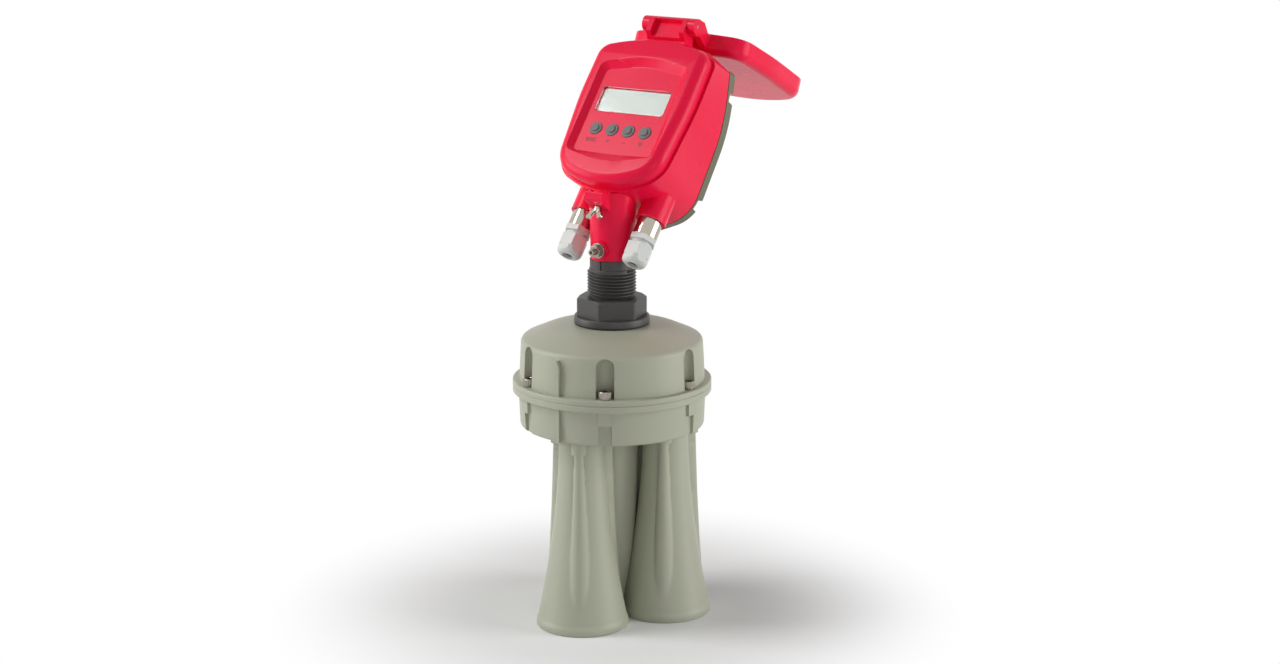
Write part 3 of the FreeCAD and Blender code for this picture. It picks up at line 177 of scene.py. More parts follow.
def moulded_nylon(colours):
    """Glass-filled nylon: dark and half matt, with a slightly dry grain."""
    return finish(
        "Glass-filled nylon", colours.neck, shift=0.08, patch=25,
        roughness=0.46, spread=0.06, grain=0.8, depth=0.02)


def stainless_steel(colours):
    """Turned and tumbled steel: bright with a soft satin blur."""
    return finish(
        "Stainless steel", colours.steel, shift=0.05, patch=6,
        roughness=0.26, spread=0.05, grain=0.5, depth=0.004, Metallic=1.0)


def nickel_plate(colours):
    """Polished plating over brass: warm and mirror-like."""
    return finish(
        "Nickel-plated brass", colours.nickel, shift=0.03, patch=12,
        roughness=0.09, spread=0.02, grain=2.0, depth=0.002, Metallic=1.0)


def moulded_polyamide(colours):
    """Light grey polyamide: half matt and fine-grained."""
    return finish(
        "Moulded polyamide", colours.gland, shift=0.03, patch=15,
        roughness=0.42, spread=0.05, grain=0.6, depth=0.012)


def black_rubber(colours):
    """Pressed rubber: nearly black and dull."""
    return finish(
        "Black rubber", colours.rubber, shift=0.15, patch=8,
        roughness=0.72, spread=0.06, grain=0.6, depth=0.03)


def silicone_keys(colours):
    """Cast silicone: grey, dull and a little dusty."""
    return finish(
        "Silicone rubber", colours.key, shift=0.06, patch=5,
        roughness=0.58, spread=0.05, grain=0.5, depth=0.012)


def clear_polycarbonate(colours):
    """Clear sheet whose anti-glare coat keeps the lamps out of the display."""
    return finish(
        "Clear polycarbonate", colours.window, shift=0.01, patch=40,
        roughness=0.06, spread=0.01, grain=20, depth=0.002, Transmission_Weight=1.0, IOR=1.15)


# Display: middle above the face's origin, half sizes of its field of dots, and its dots
DISPLAY_MIDDLE = 28.7
VIEWED = (36.2, 10.6)
DOT_PITCH = 0.9
DOT_GAP = 0.06
GAP_SHADE = 0.93
BORDER_SHADE = 1.12
DISPLAY_ROUGHNESS = (0.27, 0.33)
CLOUD = 18


def blank_display(colours):
    """Reflective display with nothing shown: pale grey-green dots inside a lighter border."""
    material = bpy.data.materials.new("Reflective display glass")
    tree = cleared(material)
    place = add(tree, "ShaderNodeTexCoord").outputs["Object"]
    flat = add(tree, "ShaderNodeMapping", {
        "Vector": place, "Location": FACE.translation, "Rotation": FACE.to_euler(),
    }, vector_type="TEXTURE")
    along = add(tree, "ShaderNodeSeparateXYZ", {"Vector": flat.outputs["Vector"]}).outputs
    middle = add(tree, "ShaderNodeMath", {0: along["Y"], 1: -DISPLAY_MIDDLE * MM}, operation="ADD")
    masks = []
    for offset, half in zip((along["X"], middle.outputs[0]), VIEWED):
        away = add(tree, "ShaderNodeMath", {0: offset}, operation="ABSOLUTE")
        masks.append(add(tree, "ShaderNodeMath", {
            0: away.outputs[0], 1: half * MM}, operation="LESS_THAN"))
    inside = add(tree, "ShaderNodeMath", {
        0: masks[0].outputs[0], 1: masks[1].outputs[0]}, operation="MULTIPLY")
    # Real dots are about 0.45 mm apart; drawn at twice that so that they show
    dots = add(tree, "ShaderNodeTexBrick", {
        "Vector": flat.outputs["Vector"], "Scale": 1 / (DOT_PITCH * MM), "Color1": (*colours.display, 1),
        "Color2": (*colours.display, 1), "Mortar": (*[c * GAP_SHADE for c in colours.display], 1),
        "Mortar Size": DOT_GAP, "Brick Width": 1.0, "Row Height": 1.0}, offset=0.0)
    border = [min(1.0, c * BORDER_SHADE) for c in colours.display]
    shown = add(tree, "ShaderNodeMix", {
        "Factor": inside.outputs[0], "A": (*border, 1), "B": dots.outputs["Color"]}, data_type="RGBA")
    cloud = add(tree, "ShaderNodeTexNoise", {"Vector": place, "Scale": 1 / (CLOUD * MM)})
    gloss = add(tree, "ShaderNodeMapRange", {
        "Value": cloud.outputs["Fac"], "To Min": DISPLAY_ROUGHNESS[0], "To Max": DISPLAY_ROUGHNESS[1]})
    body = add(tree, "ShaderNodeBsdfPrincipled", {
        "Base Color": shown.outputs[MIXED_COLOUR], "Roughness": gloss.outputs["Result"],
        "Specular IOR Level": 0.15})
    add(tree, "ShaderNodeOutputMaterial", {"Surface": body.outputs["BSDF"]})
    return material


def solder_mask(colours):
    """Printed circuit board: green lacquer over copper, raised where the tracks run."""
    return finish(
        "Solder mask on glass laminate", colours.board, shift=0.2, patch=3,
        roughness=0.35, spread=0.08, grain=1.2, depth=0.03)


def drawn_aluminium(colours):
    """Drawn aluminium cans, satin."""
    return finish(
        "Drawn aluminium", colours.driver, shift=0.04, patch=10,
        roughness=0.36, spread=0.06, grain=0.7, depth=0.006, Metallic=1.0)


def block_plastic(colours):
    """Dark moulded blocks, matt."""
    return finish(
        "Moulded terminal plastic", colours.module, shift=0.08, patch=10,
        roughness=0.55, spread=0.05, grain=0.8, depth=0.02)


def cable_jacket(colours):
    """Extruded cable jacket, matt."""
    return finish(
        "Extruded cable jacket", colours.jacket, shift=0.1, patch=12,
        roughness=0.6, spread=0.05, grain=0.7, depth=0.02)


def legend_ink(colours):
    """Pad-printed ink: thin and slightly uneven."""
    return finish(
        "Pad-printed ink", colours.legend, shift=0.1, patch=2,
        roughness=0.55, spread=0.05, grain=0.4, depth=0.004)


SLOT_FINISHES = {
    "red_paint": red_powder_coat,
    "olive_paint": olive_powder_coat,
    "drum_plastic": moulded_polypropylene,
    "neck_plastic": moulded_nylon,
    "stainless_steel": stainless_steel,
    "nickel_plate": nickel_plate,
    "gland_plastic": moulded_polyamide,
    "seal_rubber": black_rubber,
    "key_rubber": silicone_keys,
    "window_plastic": clear_polycarbonate,
    "display_glass": blank_display,
    "circuit_board": solder_mask,
    "driver_metal": drawn_aluminium,
    "module_plastic": block_plastic,
    "cable_jacket": cable_jacket,
}
FINISHES = {}


# Meshes

def new_piece(name, mesh, slot, body="scanner", stands_for=()):
    """A finished piece that rides on a body and takes a slot's finish."""
    piece = bpy.data.objects.new(name, mesh)
    bpy.context.scene.collection.objects.link(piece)
    mesh.materials.clear()
    mesh.materials.append(FINISHES[slot])
    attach(piece, body)
    if stands_for:
        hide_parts(*stands_for)
    return piece


def ring(height, reach, angles, centre=(0, 0)):
    """Points round an upright axis at one height; reach is one radius or one for each angle."""
    reach = np.broadcast_to(np.asarray(reach, float), angles.shape)
    across = centre[0] + reach * np.cos(angles)
    along = centre[1] + reach * np.sin(angles)
    return np.column_stack([across, along, np.full_like(angles, height)])


def skin(rings, closed=True):
    """A mesh in metres through rings of points in millimetres, the last joined to the first."""
    shape = bmesh.new()
    rows = [[shape.verts.new(Vector(p) * MM) for p in points] for points in rings]
    pairs = list(zip(rows, rows[1:] + rows[:1])) if closed else list(zip(rows, rows[1:]))
    for low, high in pairs:
        for i in range(len(low)):
            j = (i + 1) % len(low)
            shape.faces.new((low[i], low[j], high[j], high[i]))
    bmesh.ops.recalc_face_normals(shape, faces=shape.faces)
    mesh = bpy.data.meshes.new("Rings")
    shape.to_mesh(mesh)
    shape.free()
    return mesh


def smooth(mesh, degrees=32):
    """The mesh shaded smooth, apart from edges that turn by more than the given angle."""
    mesh.shade_smooth()
    mesh.set_sharp_from_angle(angle=math.radians(degrees))
    return mesh


def baked(piece):
    """The piece's mesh with its modifiers applied; the piece itself is removed."""
    bpy.context.view_layer.update()
    ready = piece.evaluated_get(bpy.context.evaluated_depsgraph_get())
    mesh = bpy.data.meshes.new_from_object(ready)
    bpy.data.objects.remove(piece)
    return mesh


# Softening: merge distance in millimetres, then angles of flat, joined and sharp faces
MERGED = 0.002
FLAT = math.radians(0.03)
JOINED = math.radians(8)
SKEWED = math.radians(60)
SHARP = math.radians(30)

# Edges that are rounded on the head: bounds on the display face, in millimetres
FRAME_SIDE, FRAME_LOW, FRAME_HIGH = 67, -77, 96
RECESS_SIDE, RECESS_LOW, RECESS_HIGH = 53, -26, 84
OPENINGS_SIDE, OPENINGS_HIGH = 43, 46
FLOOR_NEAR = 0.5


def welded(mesh):
    """A mesh opened for editing, with the corners merged that its faces share."""
    shape = bmesh.new()
    shape.from_mesh(mesh)
    bmesh.ops.remove_doubles(shape, verts=shape.verts, dist=MERGED * MM)
    return shape


def on_frame(spot):
    """Whether a point lies on the head's frame, or at the foot of its recess's side and upper walls."""
    across, up, out = FACE.inverted() @ spot / MM
    aside = abs(across)
    on_rim = out > FLOOR_NEAR and aside < FRAME_SIDE and FRAME_LOW < up < FRAME_HIGH
    on_floor = abs(out) < FLOOR_NEAR and aside < RECESS_SIDE and RECESS_LOW < up < RECESS_HIGH
    return on_rim or (on_floor and (aside > OPENINGS_SIDE or up > OPENINGS_HIGH))


def softened(node, width, chosen=None):
    """A copy of a solid's mesh with its outer edges, or the chosen ones, rounded by width millimetres."""
    mesh = NODES[node].data.copy()
    shape = welded(mesh)
    bmesh.ops.dissolve_limit(shape, angle_limit=FLAT, verts=shape.verts, edges=shape.edges)
    bmesh.ops.join_triangles(
        shape, faces=shape.faces, angle_face_threshold=JOINED, angle_shape_threshold=SKEWED)
    weight = shape.edges.layers.float.new("bevel_weight_edge")
    for edge in shape.edges:
        if edge.calc_face_angle(0) > SHARP:
            middle = (edge.verts[0].co + edge.verts[1].co) / 2
            rounded = chosen(middle) if chosen else edge.is_convex
            edge[weight] = float(rounded)
            edge.smooth = rounded
    shape.to_mesh(mesh)
    shape.free()
    for face in mesh.polygons:
        face.use_smooth = True
    piece = bpy.data.objects.new(node + "_soft", mesh)
    bpy.context.scene.collection.objects.link(piece)
    bevel = piece.modifiers.new("Soft edges", "BEVEL")
    bevel.width = width * MM
    bevel.segments = 2
    bevel.limit_method = "WEIGHT"
    bevel.use_clamp_overlap = chosen is None
    piece.modifiers.new("Even shading", "WEIGHTED_NORMAL").keep_sharp = True
    return baked(piece)


# Horns

HORN_AXES = [(0, -52.6), (45.553, 26.3), (-45.553, 26.3)]
HORN_TURNS = [0, 120, 240]
HORN_TOP = 189
HOLLOW_TOP = 178
HORN_WALL = 3
HORN_STEPS = 168
SPIGOT, SPIGOT_TOP = 17, 198
THROAT = 13
LIP = [(0, 43.9), (0.4, 44.7), (1.2, 45.2), (5.2, 45.2), (6.6, 44.9), (8.0, 44.3)]
MOUTH = [(5, 41.25), (0.6, 42.086), (0, 42.6)]
FLARE_HEIGHTS = [9.5, 36, 76, 122]
FLARE_RADII = [43.4, 38.2, 31.6, 25.9, 22.2]
FLARE = np.polynomial.Polynomial.fit([*FLARE_HEIGHTS, HORN_TOP], FLARE_RADII, 4)
HOLLOW = np.polynomial.Polynomial.fit([*FLARE_HEIGHTS, HOLLOW_TOP], FLARE_RADII, 4)
PILLAR_ANGLES = (-60, 60, 180)
PILLAR_TOP = 180.5
PILLAR_HEIGHTS = [10, 25, 48, 70, 120, PILLAR_TOP]
PILLAR_AXES = [30, 29.4, 28.6, 27.8, 27.8, 27.8]
PILLAR_RADII = [9, 11, 10.7, 9.6, 7, 5]
BOSS_ROOM = 7.8
FLANK_HEIGHTS = [9.5, 11, *np.linspace(13, PILLAR_TOP, 46)]
HOLLOW_HEIGHTS = np.linspace(HOLLOW_TOP, 10, 28)
SEARCHED = (-1, 15)    # how far inside and outside the flare a horn's surface is looked for
HALVINGS = 30


def horn_reach(angles, height, turn, blend):
    """Outer radius of a horn at a height: its flare with three pillars melted into it."""
    body = FLARE(height)
    if height < PILLAR_HEIGHTS[0]:
        return np.full_like(angles, body)
    axis = np.interp(height, PILLAR_HEIGHTS, PILLAR_AXES)
    radius = np.interp(height, PILLAR_HEIGHTS, PILLAR_RADII)
    low, high = (np.full_like(angles, body + offset) for offset in SEARCHED)
    for _ in range(HALVINGS):
        reach = (low + high) / 2
        gap = reach - body
        for pillar in PILLAR_ANGLES:
            towards = angles - math.radians(pillar + turn)
            other = np.hypot(reach * np.cos(towards) - axis, reach * np.sin(towards)) - radius
            share = np.clip(0.5 + 0.5 * (other - gap) / blend, 0, 1)
            gap = other * (1 - share) + gap * share - blend * share * (1 - share)
        outside = gap > 0
        high = np.where(outside, reach, high)
        low = np.where(outside, low, reach)
    return (low + high) / 2


def stem_reach(angles, height, turn):
    """Outer radius of a horn above its pillars, hollowed where the drum's bosses stand."""
    reach = np.full_like(angles, FLARE(height))
    axis = PILLAR_AXES[-1]
    for pillar in PILLAR_ANGLES:
        towards = angles - math.radians(pillar + turn)
        aside = axis * np.sin(towards)
        met = (np.abs(aside) < BOSS_ROOM) & (np.cos(towards) > 0)
        near = axis * np.cos(towards) - np.sqrt(np.maximum(BOSS_ROOM ** 2 - aside ** 2, 0))
        reach = np.where(met, np.minimum(reach, near), reach)
    return reach


def horn_mesh(centre, turn, blend):
    """A horn from its lip up the flank, over the spigot and down through the hollow to its mouth."""
    angles = np.linspace(0, 2 * math.pi, HORN_STEPS, endpoint=False)
    spigot = [(HORN_TOP, SPIGOT), (SPIGOT_TOP, SPIGOT), (SPIGOT_TOP, THROAT), (HOLLOW_TOP, THROAT)]
    rows = [*LIP]
    rows += [(z, horn_reach(angles, z, turn, blend)) for z in FLANK_HEIGHTS]
    rows += [(z, stem_reach(angles, z, turn)) for z in (PILLAR_TOP, HORN_TOP)]
    rows += spigot
    rows += [(z, HOLLOW(z) - HORN_WALL) for z in HOLLOW_HEIGHTS]
    rows += MOUTH
    return smooth(skin([ring(z, reach, angles, centre) for z, reach in rows]), 40)


class SCANNER_OT_horns(bpy.types.Operator):
    """Flared horns with their screw pillars melted into the flank"""
    bl_idname = "scanner.horns"
    bl_label = "Horns"

    def execute(self, context):
        blend = context.scene.scanner_sizes.pillar_blend / MM
        for k, (centre, turn) in enumerate(zip(HORN_AXES, HORN_TURNS), start=1):
            mesh = horn_mesh(centre, turn, blend)
            new_piece("horn_%d_shell" % k, mesh, "drum_plastic", stands_for=["horn_%d" % k])
        return {"FINISHED"}


# Process neck

NECK_STEPS = 192
NECK_FOOT, NECK_TOP = 268, 378
NECK_BORE = 10
SPOUT = 14.9
NECK_FLANGE = [
    (NECK_FOOT, 20), (295, 20), (295, 36.4), (295.5, 37), (300.2, 37), (301.3, 36.6), (302, 35.8)]
HEX_CORNER = 35
HEX_ROUNDED = 34.5
HEX_TURN = 43.5
HEX_LOW, HEX_HIGH = 302, 320.5
HEX_FLAT_HEIGHTS = (HEX_LOW, HEX_LOW + 0.4, 312)
CHAMFER_HEIGHTS = np.linspace(317.2, HEX_HIGH, 8)
CHAMFER_RADIUS, CHAMFER_SLOPE = 31.5, 1.5
THREAD_TOP = 349
THREAD_CREST = 23.9
THREAD_SUNK = 0.2
THREAD_ENDS = (1.2, 1.8)    # plain lengths below and above the thread
THREAD_FADE = 0.6
COLLAR, COLLAR_TOP = 21.4, 358
COLLAR_EASE = 0.3
SLOT_LIP = 0.1
COLLAR_SLOT = (-86, 1.2, 1.2)    # direction and half width in degrees, depth in millimetres


def hexagon_reach(angles, corner, turn):
    """Radius of a hexagon at each angle."""
    sector = np.radians(60)
    offset = (angles - math.radians(turn)) % sector - sector / 2
    return corner * math.cos(sector / 2) / np.cos(offset)


def neck_mesh(root):
    """The neck without its thread: flange, chamfered hexagon, thread root, slotted collar and spout."""
    angles = np.radians(HEX_TURN) + np.linspace(0, 2 * math.pi, NECK_STEPS, endpoint=False)
    hexagon = np.minimum(hexagon_reach(angles, HEX_CORNER, HEX_TURN), HEX_ROUNDED)
    middle, half, depth = COLLAR_SLOT
    away = (angles - math.radians(middle) + math.pi) % (2 * math.pi) - math.pi
    collar = np.where(np.abs(away) < math.radians(half), COLLAR - depth, COLLAR)
    rows = [*NECK_FLANGE]
    rows += [(z, hexagon) for z in HEX_FLAT_HEIGHTS]
    for z in CHAMFER_HEIGHTS:
        rows.append((z, np.minimum(hexagon, CHAMFER_RADIUS + CHAMFER_SLOPE * (HEX_HIGH - z))))
    rows += [(HEX_HIGH, root), (THREAD_TOP - THREAD_FADE, root), (THREAD_TOP, COLLAR)]
    rows += [(THREAD_TOP + SLOT_LIP, collar), (COLLAR_TOP - SLOT_LIP, collar)]
    rows += [(COLLAR_TOP, COLLAR - COLLAR_EASE), (COLLAR_TOP, SPOUT), (NECK_TOP, SPOUT)]
    rows += [(NECK_TOP, NECK_BORE), (NECK_FOOT, NECK_BORE)]
    return smooth(skin([ring(z, reach, angles) for z, reach in rows]), 24)


def thread_tree(material):
    """Nodes that sweep a three-cornered section along a helix."""
    tree = bpy.data.node_groups.new("Thread", "GeometryNodeTree")
    for name in ("Root", "Pitch", "Depth", "Length", "Base"):
        tree.interface.new_socket(name, in_out="INPUT", socket_type="NodeSocketFloat")
    tree.interface.new_socket("Geometry", in_out="OUTPUT", socket_type="NodeSocketGeometry")
    sizes = add(tree, "NodeGroupInput").outputs
    turns = add(tree, "ShaderNodeMath", {0: sizes["Length"], 1: sizes["Pitch"]}, operation="DIVIDE")
    helix = add(tree, "GeometryNodeCurveSpiral", {
        "Resolution": 72, "Rotations": turns.outputs[0], "Start Radius": sizes["Root"],
        "End Radius": sizes["Root"], "Height": sizes["Length"]})
    upright = add(tree, "GeometryNodeSetCurveNormal", {"Curve": helix.outputs["Curve"]}, mode="Z_UP")
    section = add(tree, "GeometryNodeCurvePrimitiveCircle", {
        "Resolution": 3, "Radius": sizes["Depth"]})
    pointed = add(tree, "GeometryNodeTransform", {
        "Geometry": section.outputs["Curve"], "Rotation": (0, 0, math.pi)})
    swept = add(tree, "GeometryNodeCurveToMesh", {
        "Curve": upright.outputs["Curve"], "Profile Curve": pointed.outputs["Geometry"],
        "Fill Caps": True})
    lift = add(tree, "ShaderNodeCombineXYZ", {"Z": sizes["Base"]})
    placed = add(tree, "GeometryNodeTransform", {
        "Geometry": swept.outputs["Mesh"], "Translation": lift.outputs["Vector"]})
    real = add(tree, "GeometryNodeRealizeInstances", {"Geometry": placed.outputs["Geometry"]})
    painted = add(tree, "GeometryNodeSetMaterial", {
        "Geometry": real.outputs["Geometry"], "Material": material})
    add(tree, "NodeGroupOutput", {"Geometry": painted.outputs["Geometry"]})
    return tree


def grown(name, tree, values, start=None):
    """The plain mesh that a node tree gives for named values, from nothing or from a starting mesh."""
    piece = bpy.data.objects.new(name, start or bpy.data.meshes.new(name))
    bpy.context.scene.collection.objects.link(piece)
    modifier = piece.modifiers.new(name, "NODES")
    modifier.node_group = tree
    for item in tree.interface.items_tree:
        if item.in_out == "INPUT" and item.name in values:
            modifier[item.identifier] = values[item.name]
    return baked(piece)


class SCANNER_OT_neck(bpy.types.Operator):
    """Threaded neck with its hexagon, flange and collar"""
    bl_idname = "scanner.neck"
    bl_label = "Process neck"

    def execute(self, context):
        sizes = context.scene.scanner_sizes
        root = THREAD_CREST - sizes.thread_depth / MM
        new_piece("neck_body", neck_mesh(root), "neck_plastic", stands_for=["process_neck"])
        tree = thread_tree(FINISHES["neck_plastic"])
        mesh = grown("thread", tree, {
            "Root": (root + THREAD_SUNK) * MM, "Pitch": sizes.thread_pitch,
            "Depth": sizes.thread_depth - THREAD_SUNK * MM, "Base": (HEX_HIGH + THREAD_ENDS[0]) * MM,
            "Length": (THREAD_TOP - HEX_HIGH - sum(THREAD_ENDS)) * MM})
        new_piece("neck_thread", smooth(mesh), "neck_plastic")
        return {"FINISHED"}


# Screws

SCREW_STEPS = 72
KNURL_STEP = 3
SCREW_TIP = 0.01    # radius that closes a screw's end
BOLT_CIRCLE = 88.5
BOLT_SEAT = 239.5
REAR_SCREWS = [(-60.6, 30.5), (60.6, 30.5), (-45.6, -78.5), (45.6, -78.5)]
REAR_SEAT = -4.2


def socket_screw(shank, length_below, head, height, across, depth, knurl=0.0, dome=0.0):
    """A screw with a hexagon socket, its seat at height 0, as a mesh in metres."""
    angles = np.linspace(0, 2 * math.pi, SCREW_STEPS, endpoint=False)
    ribs = head - knurl * (np.arange(SCREW_STEPS) % KNURL_STEP == 0)
    socket = hexagon_reach(angles, across / math.sqrt(3), 0)
    rim = height - dome
    top = [(height - 0.4 * dome, head * 0.78), (height, head * 0.6)] if dome else [(height, head - 0.9)]
    rows = [
        (-length_below, SCREW_TIP), (-length_below, shank), (0, shank),
        (0, head - 0.3), (0.3, ribs), (rim - 0.7, ribs), (rim - 0.2, head - 0.5),
        *top,
        (height, socket + 0.25), (height - 0.25, socket), (height - depth, socket),
        (height - depth, SCREW_TIP),
    ]
    return smooth(skin([ring(z, reach, angles) for z, reach in rows], closed=False), 30)


def repeat_tree(material):
    """Nodes that set one shape on every point of a mesh."""
    tree = bpy.data.node_groups.new("Repeat", "GeometryNodeTree")
    tree.interface.new_socket("Points", in_out="INPUT", socket_type="NodeSocketGeometry")
    tree.interface.new_socket("Shape", in_out="INPUT", socket_type="NodeSocketObject")
    tree.interface.new_socket("Geometry", in_out="OUTPUT", socket_type="NodeSocketGeometry")
    given = add(tree, "NodeGroupInput").outputs
    shape = add(tree, "GeometryNodeObjectInfo", {"Object": given["Shape"]})
    spread = add(tree, "GeometryNodeInstanceOnPoints", {
        "Points": given["Points"], "Instance": shape.outputs["Geometry"]})
    real = add(tree, "GeometryNodeRealizeInstances", {"Geometry": spread.outputs["Instances"]})
    painted = add(tree, "GeometryNodeSetMaterial", {
        "Geometry": real.outputs["Geometry"], "Material": material})
    add(tree, "NodeGroupOutput", {"Geometry": painted.outputs["Geometry"]})
    return tree


def repeated(name, mesh, points, material):
    """One plain mesh with a copy of the given one at every point."""
    shape = bpy.data.objects.new(name + "_one", mesh)
    bpy.context.scene.collection.objects.link(shape)
    spots = bpy.data.meshes.new(name)
    spots.from_pydata([Vector(p) for p in points], [], [])
    made = grown(name, repeat_tree(material), {"Shape": shape}, spots)
    bpy.data.objects.remove(shape)
    return made


class SCANNER_OT_flange_bolts(bpy.types.Operator):
    """Knurled socket screws round the drum's flange"""
    bl_idname = "scanner.flange_bolts"
    bl_label = "Flange bolts"

    def execute(self, context):
        sizes = context.scene.scanner_sizes
        one = socket_screw(
            shank=4, length_below=20, head=6.5, height=8, across=6, depth=4.5,
            knurl=sizes.knurl_depth / MM)
        turns = np.arange(sizes.bolt_count) * 2 * math.pi / sizes.bolt_count
        points = ring(BOLT_SEAT, BOLT_CIRCLE, turns) * MM
        mesh = repeated("flange_bolts", one, points, FINISHES["stainless_steel"])
        new_piece("flange_bolt_set", mesh, "stainless_steel", stands_for=["flange_bolts"])
        return {"FINISHED"}


class SCANNER_OT_rear_screws(bpy.types.Operator):
    """Domed screws in the rear cover's notches"""
    bl_idname = "scanner.rear_screws"
    bl_label = "Rear screws"

    def execute(self, context):
        one = socket_screw(
            shank=1.9, length_below=14, head=4.4, height=2.8, across=2.5, depth=1.4, dome=1.4)
        one.transform(REAR.to_3x3().to_4x4() @ Matrix.Rotation(math.pi, 4, "X"))
        points = [REAR @ (Vector((x, y, REAR_SEAT)) * MM) for x, y in REAR_SCREWS]
        mesh = repeated("rear_screws", one, points, FINISHES["stainless_steel"])
        new_piece("rear_screw_set", mesh, "stainless_steel", stands_for=["rear_screws"])
        return {"FINISHED"}


# Softened solids: slot, body and edge width in millimetres of each

SOFT_NODES = {
    "gland_nut_left": ("gland_plastic", "scanner", 0.6),
    "gland_nut_right": ("gland_plastic", "scanner", 0.6),
    "gland_body_left": ("gland_plastic", "scanner", 0.4),
    "gland_body_right": ("gland_plastic", "scanner", 0.4),
    "gland_adapter_left": ("nickel_plate", "scanner", 0.3),
    "gland_adapter_right": ("nickel_plate", "scanner", 0.3),
    "wing_screw": ("nickel_plate", "wing_screw", 0.5),
    "ground_nut": ("stainless_steel", "scanner", 0.4),
    "ground_washer": ("stainless_steel", "scanner", 0.3),
    "ground_stud": ("stainless_steel", "scanner", 0.4),
    "rear_cover": ("olive_paint", "scanner", 0.6),
    "upper_housing": ("drum_plastic", "scanner", 0.4),
    "lower_housing": ("drum_plastic", "scanner", 0.4),
    "head_housing": ("red_paint", "scanner", 0.35),
    "flip_cover": ("red_paint", "flip_cover", 0.5),
}
CHOSEN_EDGES = {"head_housing": on_frame}


class SCANNER_OT_soft_edges(bpy.types.Operator):
    """Solids with the rounded edges that casting and moulding leave"""
    bl_idname = "scanner.soft_edges"
    bl_label = "Soft edges"

    def execute(self, context):
        for node, (slot, body, width) in SOFT_NODES.items():
            mesh = softened(node, width, CHOSEN_EDGES.get(node))
            new_piece(node + "_soft", mesh, slot, body, [node])
        return {"FINISHED"}


# Display window, with a band of painted shade round its edge

WALL_GAP = 0.1    # how far the band stands outside the window, in millimetres
FACING = 0.3    # a face that looks this much along the display's axis isn't its edge


class SCANNER_OT_window_shade_band(bpy.types.Operator):
    """Black band round the display window's edge: painted shade standing in for the shadow on the walls
    of the window's opening
    """
    bl_idname = "scanner.window_edge"
    bl_label = "Window edge"

    def execute(self, context):
        outward = FACE.to_3x3() @ Vector((0, 0, 1))
        mesh = NODES["display_window"].data.copy()
        shape = welded(mesh)
        flat = [f for f in shape.faces if abs(f.normal.dot(outward)) > FACING]
        bmesh.ops.delete(shape, geom=flat, context="FACES")
        shape.normal_update()
        for corner in shape.verts:
            corner.co += corner.normal * WALL_GAP * MM
        shape.to_mesh(mesh)
        shape.free()
        # The black band is painted shade: dark rubber where the opening's walls would only be in shadow
        new_piece("window_edge", smooth(mesh), "seal_rubber")
        return {"FINISHED"}


# Key legends

LEGENDS = ["ESC", "+", "\u2013", "E"]
LEGEND_STRETCH = 1.4
FONT_SIZE = 1.4    # for each unit of a capital's height
KEY_PITCH = 18.9
LEGEND_ROW = -17.8
INK = 0.06
BOLD = 0.1


class SCANNER_OT_legends(bpy.types.Operator):
    """Printed legends below the keys"""
    bl_idname = "scanner.legends"
    bl_label = "Key legends"

    def execute(self, context):
        height = context.scene.scanner_sizes.legend_height
        ink = legend_ink(context.scene.scanner_colours)
        for k, words in enumerate(LEGENDS):
            text = bpy.data.curves.new("legend", "FONT")
            text.body = words
            text.size = height * FONT_SIZE
            text.align_x = "CENTER"
            text.extrude = INK * MM / 2
            text.offset = BOLD * MM
            piece = bpy.data.objects.new("legend", text)
            bpy.context.scene.collection.objects.link(piece)
            mesh = baked(piece)
            place = (k - (len(LEGENDS) - 1) / 2) * KEY_PITCH
            spot = Vector((place * MM, LEGEND_ROW * MM - height / 2, INK * MM / 2))
            mesh.transform(FACE @ Matrix.Translation(spot) @ Matrix.Diagonal((LEGEND_STRETCH, 1, 1, 1)))
            piece = new_piece("legend_%d" % (k + 1), mesh, "red_paint")
            piece.data.materials[0] = ink
        return {"FINISHED"}


# Finishes of the solids that stay

class SCANNER_OT_finishes(bpy.types.Operator):
    """Materials of every slot, set on the solids"""
    bl_idname = "scanner.finishes"
    bl_label = "Finishes"

    def execute(self, context):
        colours = context.scene.scanner_colours
        for slot, make in SLOT_FINISHES.items():
            FINISHES[slot] = make(colours)
        for entry in frame["record"]["subparts"]:
            slots = NODES[entry["node"]].data.materials
            slots.clear()
            slots.append(FINISHES[entry["material_slot"]])
        return {"FINISHED"}


# Stage

CAMERA_PLACE = Vector((1.3582, -1.9887, 0.8629))
CAMERA_TURN = (math.radians(76.48), 0, math.radians(33.68))
CAMERA_LENS = 71.25
AIM = Vector((0, 0.03, 0.33))
# Name, place, width and height in metres, watts
LAMPS = [
    ("left_softbox", (-1.55, -1.05, 0.8), 0.9, 1.4, 18),
    ("right_softbox", (1.75, 0.75, 0.6), 1.0, 1.6, 23),
    ("high_softbox", (-1.05, -0.86, 1.84), 0.7, 0.5, 13),
    ("front_fill", (1.5, -1.3, 0.7), 0.9, 0.9, 4),
]
WORLD_LIGHT = 0.22
FLOOR_REACH = 6.0
FLOOR_WHITE = (0.9, 0.9, 0.9, 1)
FLOOR_FADE = (0.12, 0.36)


def add_lamp(name, place, width, height, watts):
    """A softbox that faces the middle of the object."""
    light = bpy.data.lights.new(name, "AREA")
    light.shape = "RECTANGLE"
    light.size = width
    light.size_y = height
    light.energy = watts
    lamp = bpy.data.objects.new(name, light)
    lamp.location = place
    lamp.rotation_euler = (AIM - lamp.location).to_track_quat("-Z", "Y").to_euler()
    bpy.context.scene.collection.objects.link(lamp)


def plainly_seen(tree):
    """1 for what the camera sees, straight, in a reflection or through glass."""
    path = add(tree, "ShaderNodeLightPath").outputs
    mirrored = add(tree, "ShaderNodeMath", {
        0: path["Is Camera Ray"], 1: path["Is Glossy Ray"]}, operation="MAXIMUM")
    seen = add(tree, "ShaderNodeMath", {
        0: mirrored.outputs[0], 1: path["Is Transmission Ray"]}, operation="MAXIMUM")
    return seen.outputs[0]


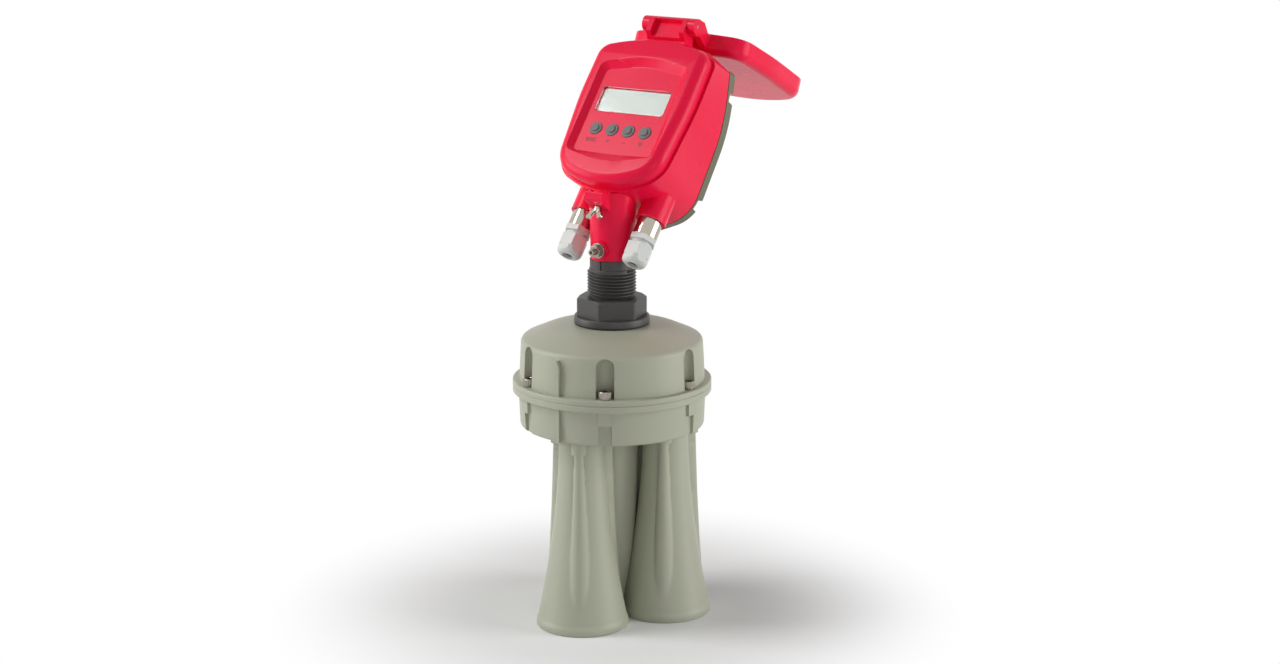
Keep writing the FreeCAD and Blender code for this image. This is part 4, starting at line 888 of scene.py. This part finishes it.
def light_world():
    """White to the camera and in reflections, softer as a light."""
    world = bpy.data.worlds.new("Studio")
    bpy.context.scene.world = world
    tree = cleared(world)
    strength = add(tree, "ShaderNodeMapRange", {
        "Value": plainly_seen(tree), "To Min": WORLD_LIGHT, "To Max": 1.0})
    back = add(tree, "ShaderNodeBackground", {
        "Color": (1, 1, 1, 1), "Strength": strength.outputs["Result"]})
    add(tree, "ShaderNodeOutputWorld", {"Surface": back.outputs["Background"]})


def floor_material():
    """Matt white sheet that turns plain white away from the object."""
    material = bpy.data.materials.new("White studio sheet")
    tree = cleared(material)
    place = add(tree, "ShaderNodeTexCoord").outputs["Object"]
    far = add(tree, "ShaderNodeVectorMath", {0: place}, operation="LENGTH")
    fade = add(tree, "ShaderNodeMapRange", {
        "Value": far.outputs["Value"], "From Min": FLOOR_FADE[0], "From Max": FLOOR_FADE[1],
    }, interpolation_type="SMOOTHSTEP")
    sheet = add(tree, "ShaderNodeBsdfDiffuse", {"Color": FLOOR_WHITE})
    glow = add(tree, "ShaderNodeEmission", {"Color": (1, 1, 1, 1), "Strength": 1.0})
    shown = add(tree, "ShaderNodeMath", {
        0: fade.outputs["Result"], 1: plainly_seen(tree)}, operation="MULTIPLY")
    mixed = add(tree, "ShaderNodeMixShader", {
        0: shown.outputs[0], 1: sheet.outputs["BSDF"], 2: glow.outputs["Emission"]})
    add(tree, "ShaderNodeOutputMaterial", {"Surface": mixed.outputs["Shader"]})
    return material


class SCANNER_OT_stage(bpy.types.Operator):
    """Pale floor, soft light and the camera"""
    bl_idname = "scanner.stage"
    bl_label = "Stage"

    def execute(self, context):
        scene = context.scene
        scene.view_settings.view_transform = "Standard"
        sheet = bpy.data.meshes.new("floor")
        corners = [(x * FLOOR_REACH, y * FLOOR_REACH, 0) for x, y in [(-1, -1), (1, -1), (1, 1), (-1, 1)]]
        sheet.from_pydata(corners, [], [(0, 1, 2, 3)])
        sheet.materials.append(floor_material())
        floor = bpy.data.objects.new("floor", sheet)
        scene.collection.objects.link(floor)
        light_world()
        for lamp in LAMPS:
            add_lamp(*lamp)
        camera = bpy.data.objects.new("camera", bpy.data.cameras.new("camera"))
        camera.data.lens = CAMERA_LENS
        camera.location = CAMERA_PLACE
        camera.rotation_euler = CAMERA_TURN
        scene.collection.objects.link(camera)
        scene.camera = camera
        return {"FINISHED"}


# Add-on

STEPS = [
    SCANNER_OT_finishes,
    SCANNER_OT_horns,
    SCANNER_OT_neck,
    SCANNER_OT_flange_bolts,
    SCANNER_OT_rear_screws,
    SCANNER_OT_soft_edges,
    SCANNER_OT_window_shade_band,
    SCANNER_OT_legends,
    SCANNER_OT_stage,
]


class SCANNER_PT_panel(bpy.types.Panel):
    """Steps that dress the level scanner"""
    bl_idname = "SCANNER_PT_panel"
    bl_label = "Level scanner"
    bl_space_type = "VIEW_3D"
    bl_region_type = "UI"
    bl_category = "Scanner"

    def draw(self, context):
        for step in STEPS:
            self.layout.operator(step.bl_idname)


CLASSES = [ScannerSizes, ScannerColours, *STEPS, SCANNER_PT_panel]


def register():
    for item in CLASSES:
        bpy.utils.register_class(item)
    bpy.types.Scene.scanner_sizes = PointerProperty(type=ScannerSizes)
    bpy.types.Scene.scanner_colours = PointerProperty(type=ScannerColours)


def unregister():
    del bpy.types.Scene.scanner_sizes
    del bpy.types.Scene.scanner_colours
    for item in reversed(CLASSES):
        bpy.utils.unregister_class(item)


def main():
    register()
    bpy.ops.scanner.finishes()
    bpy.ops.scanner.horns()
    bpy.ops.scanner.neck()
    bpy.ops.scanner.flange_bolts()
    bpy.ops.scanner.rear_screws()
    bpy.ops.scanner.soft_edges()
    bpy.ops.scanner.window_edge()
    bpy.ops.scanner.legends()
    bpy.ops.scanner.stage()


if __name__ == "__main__":
    main()
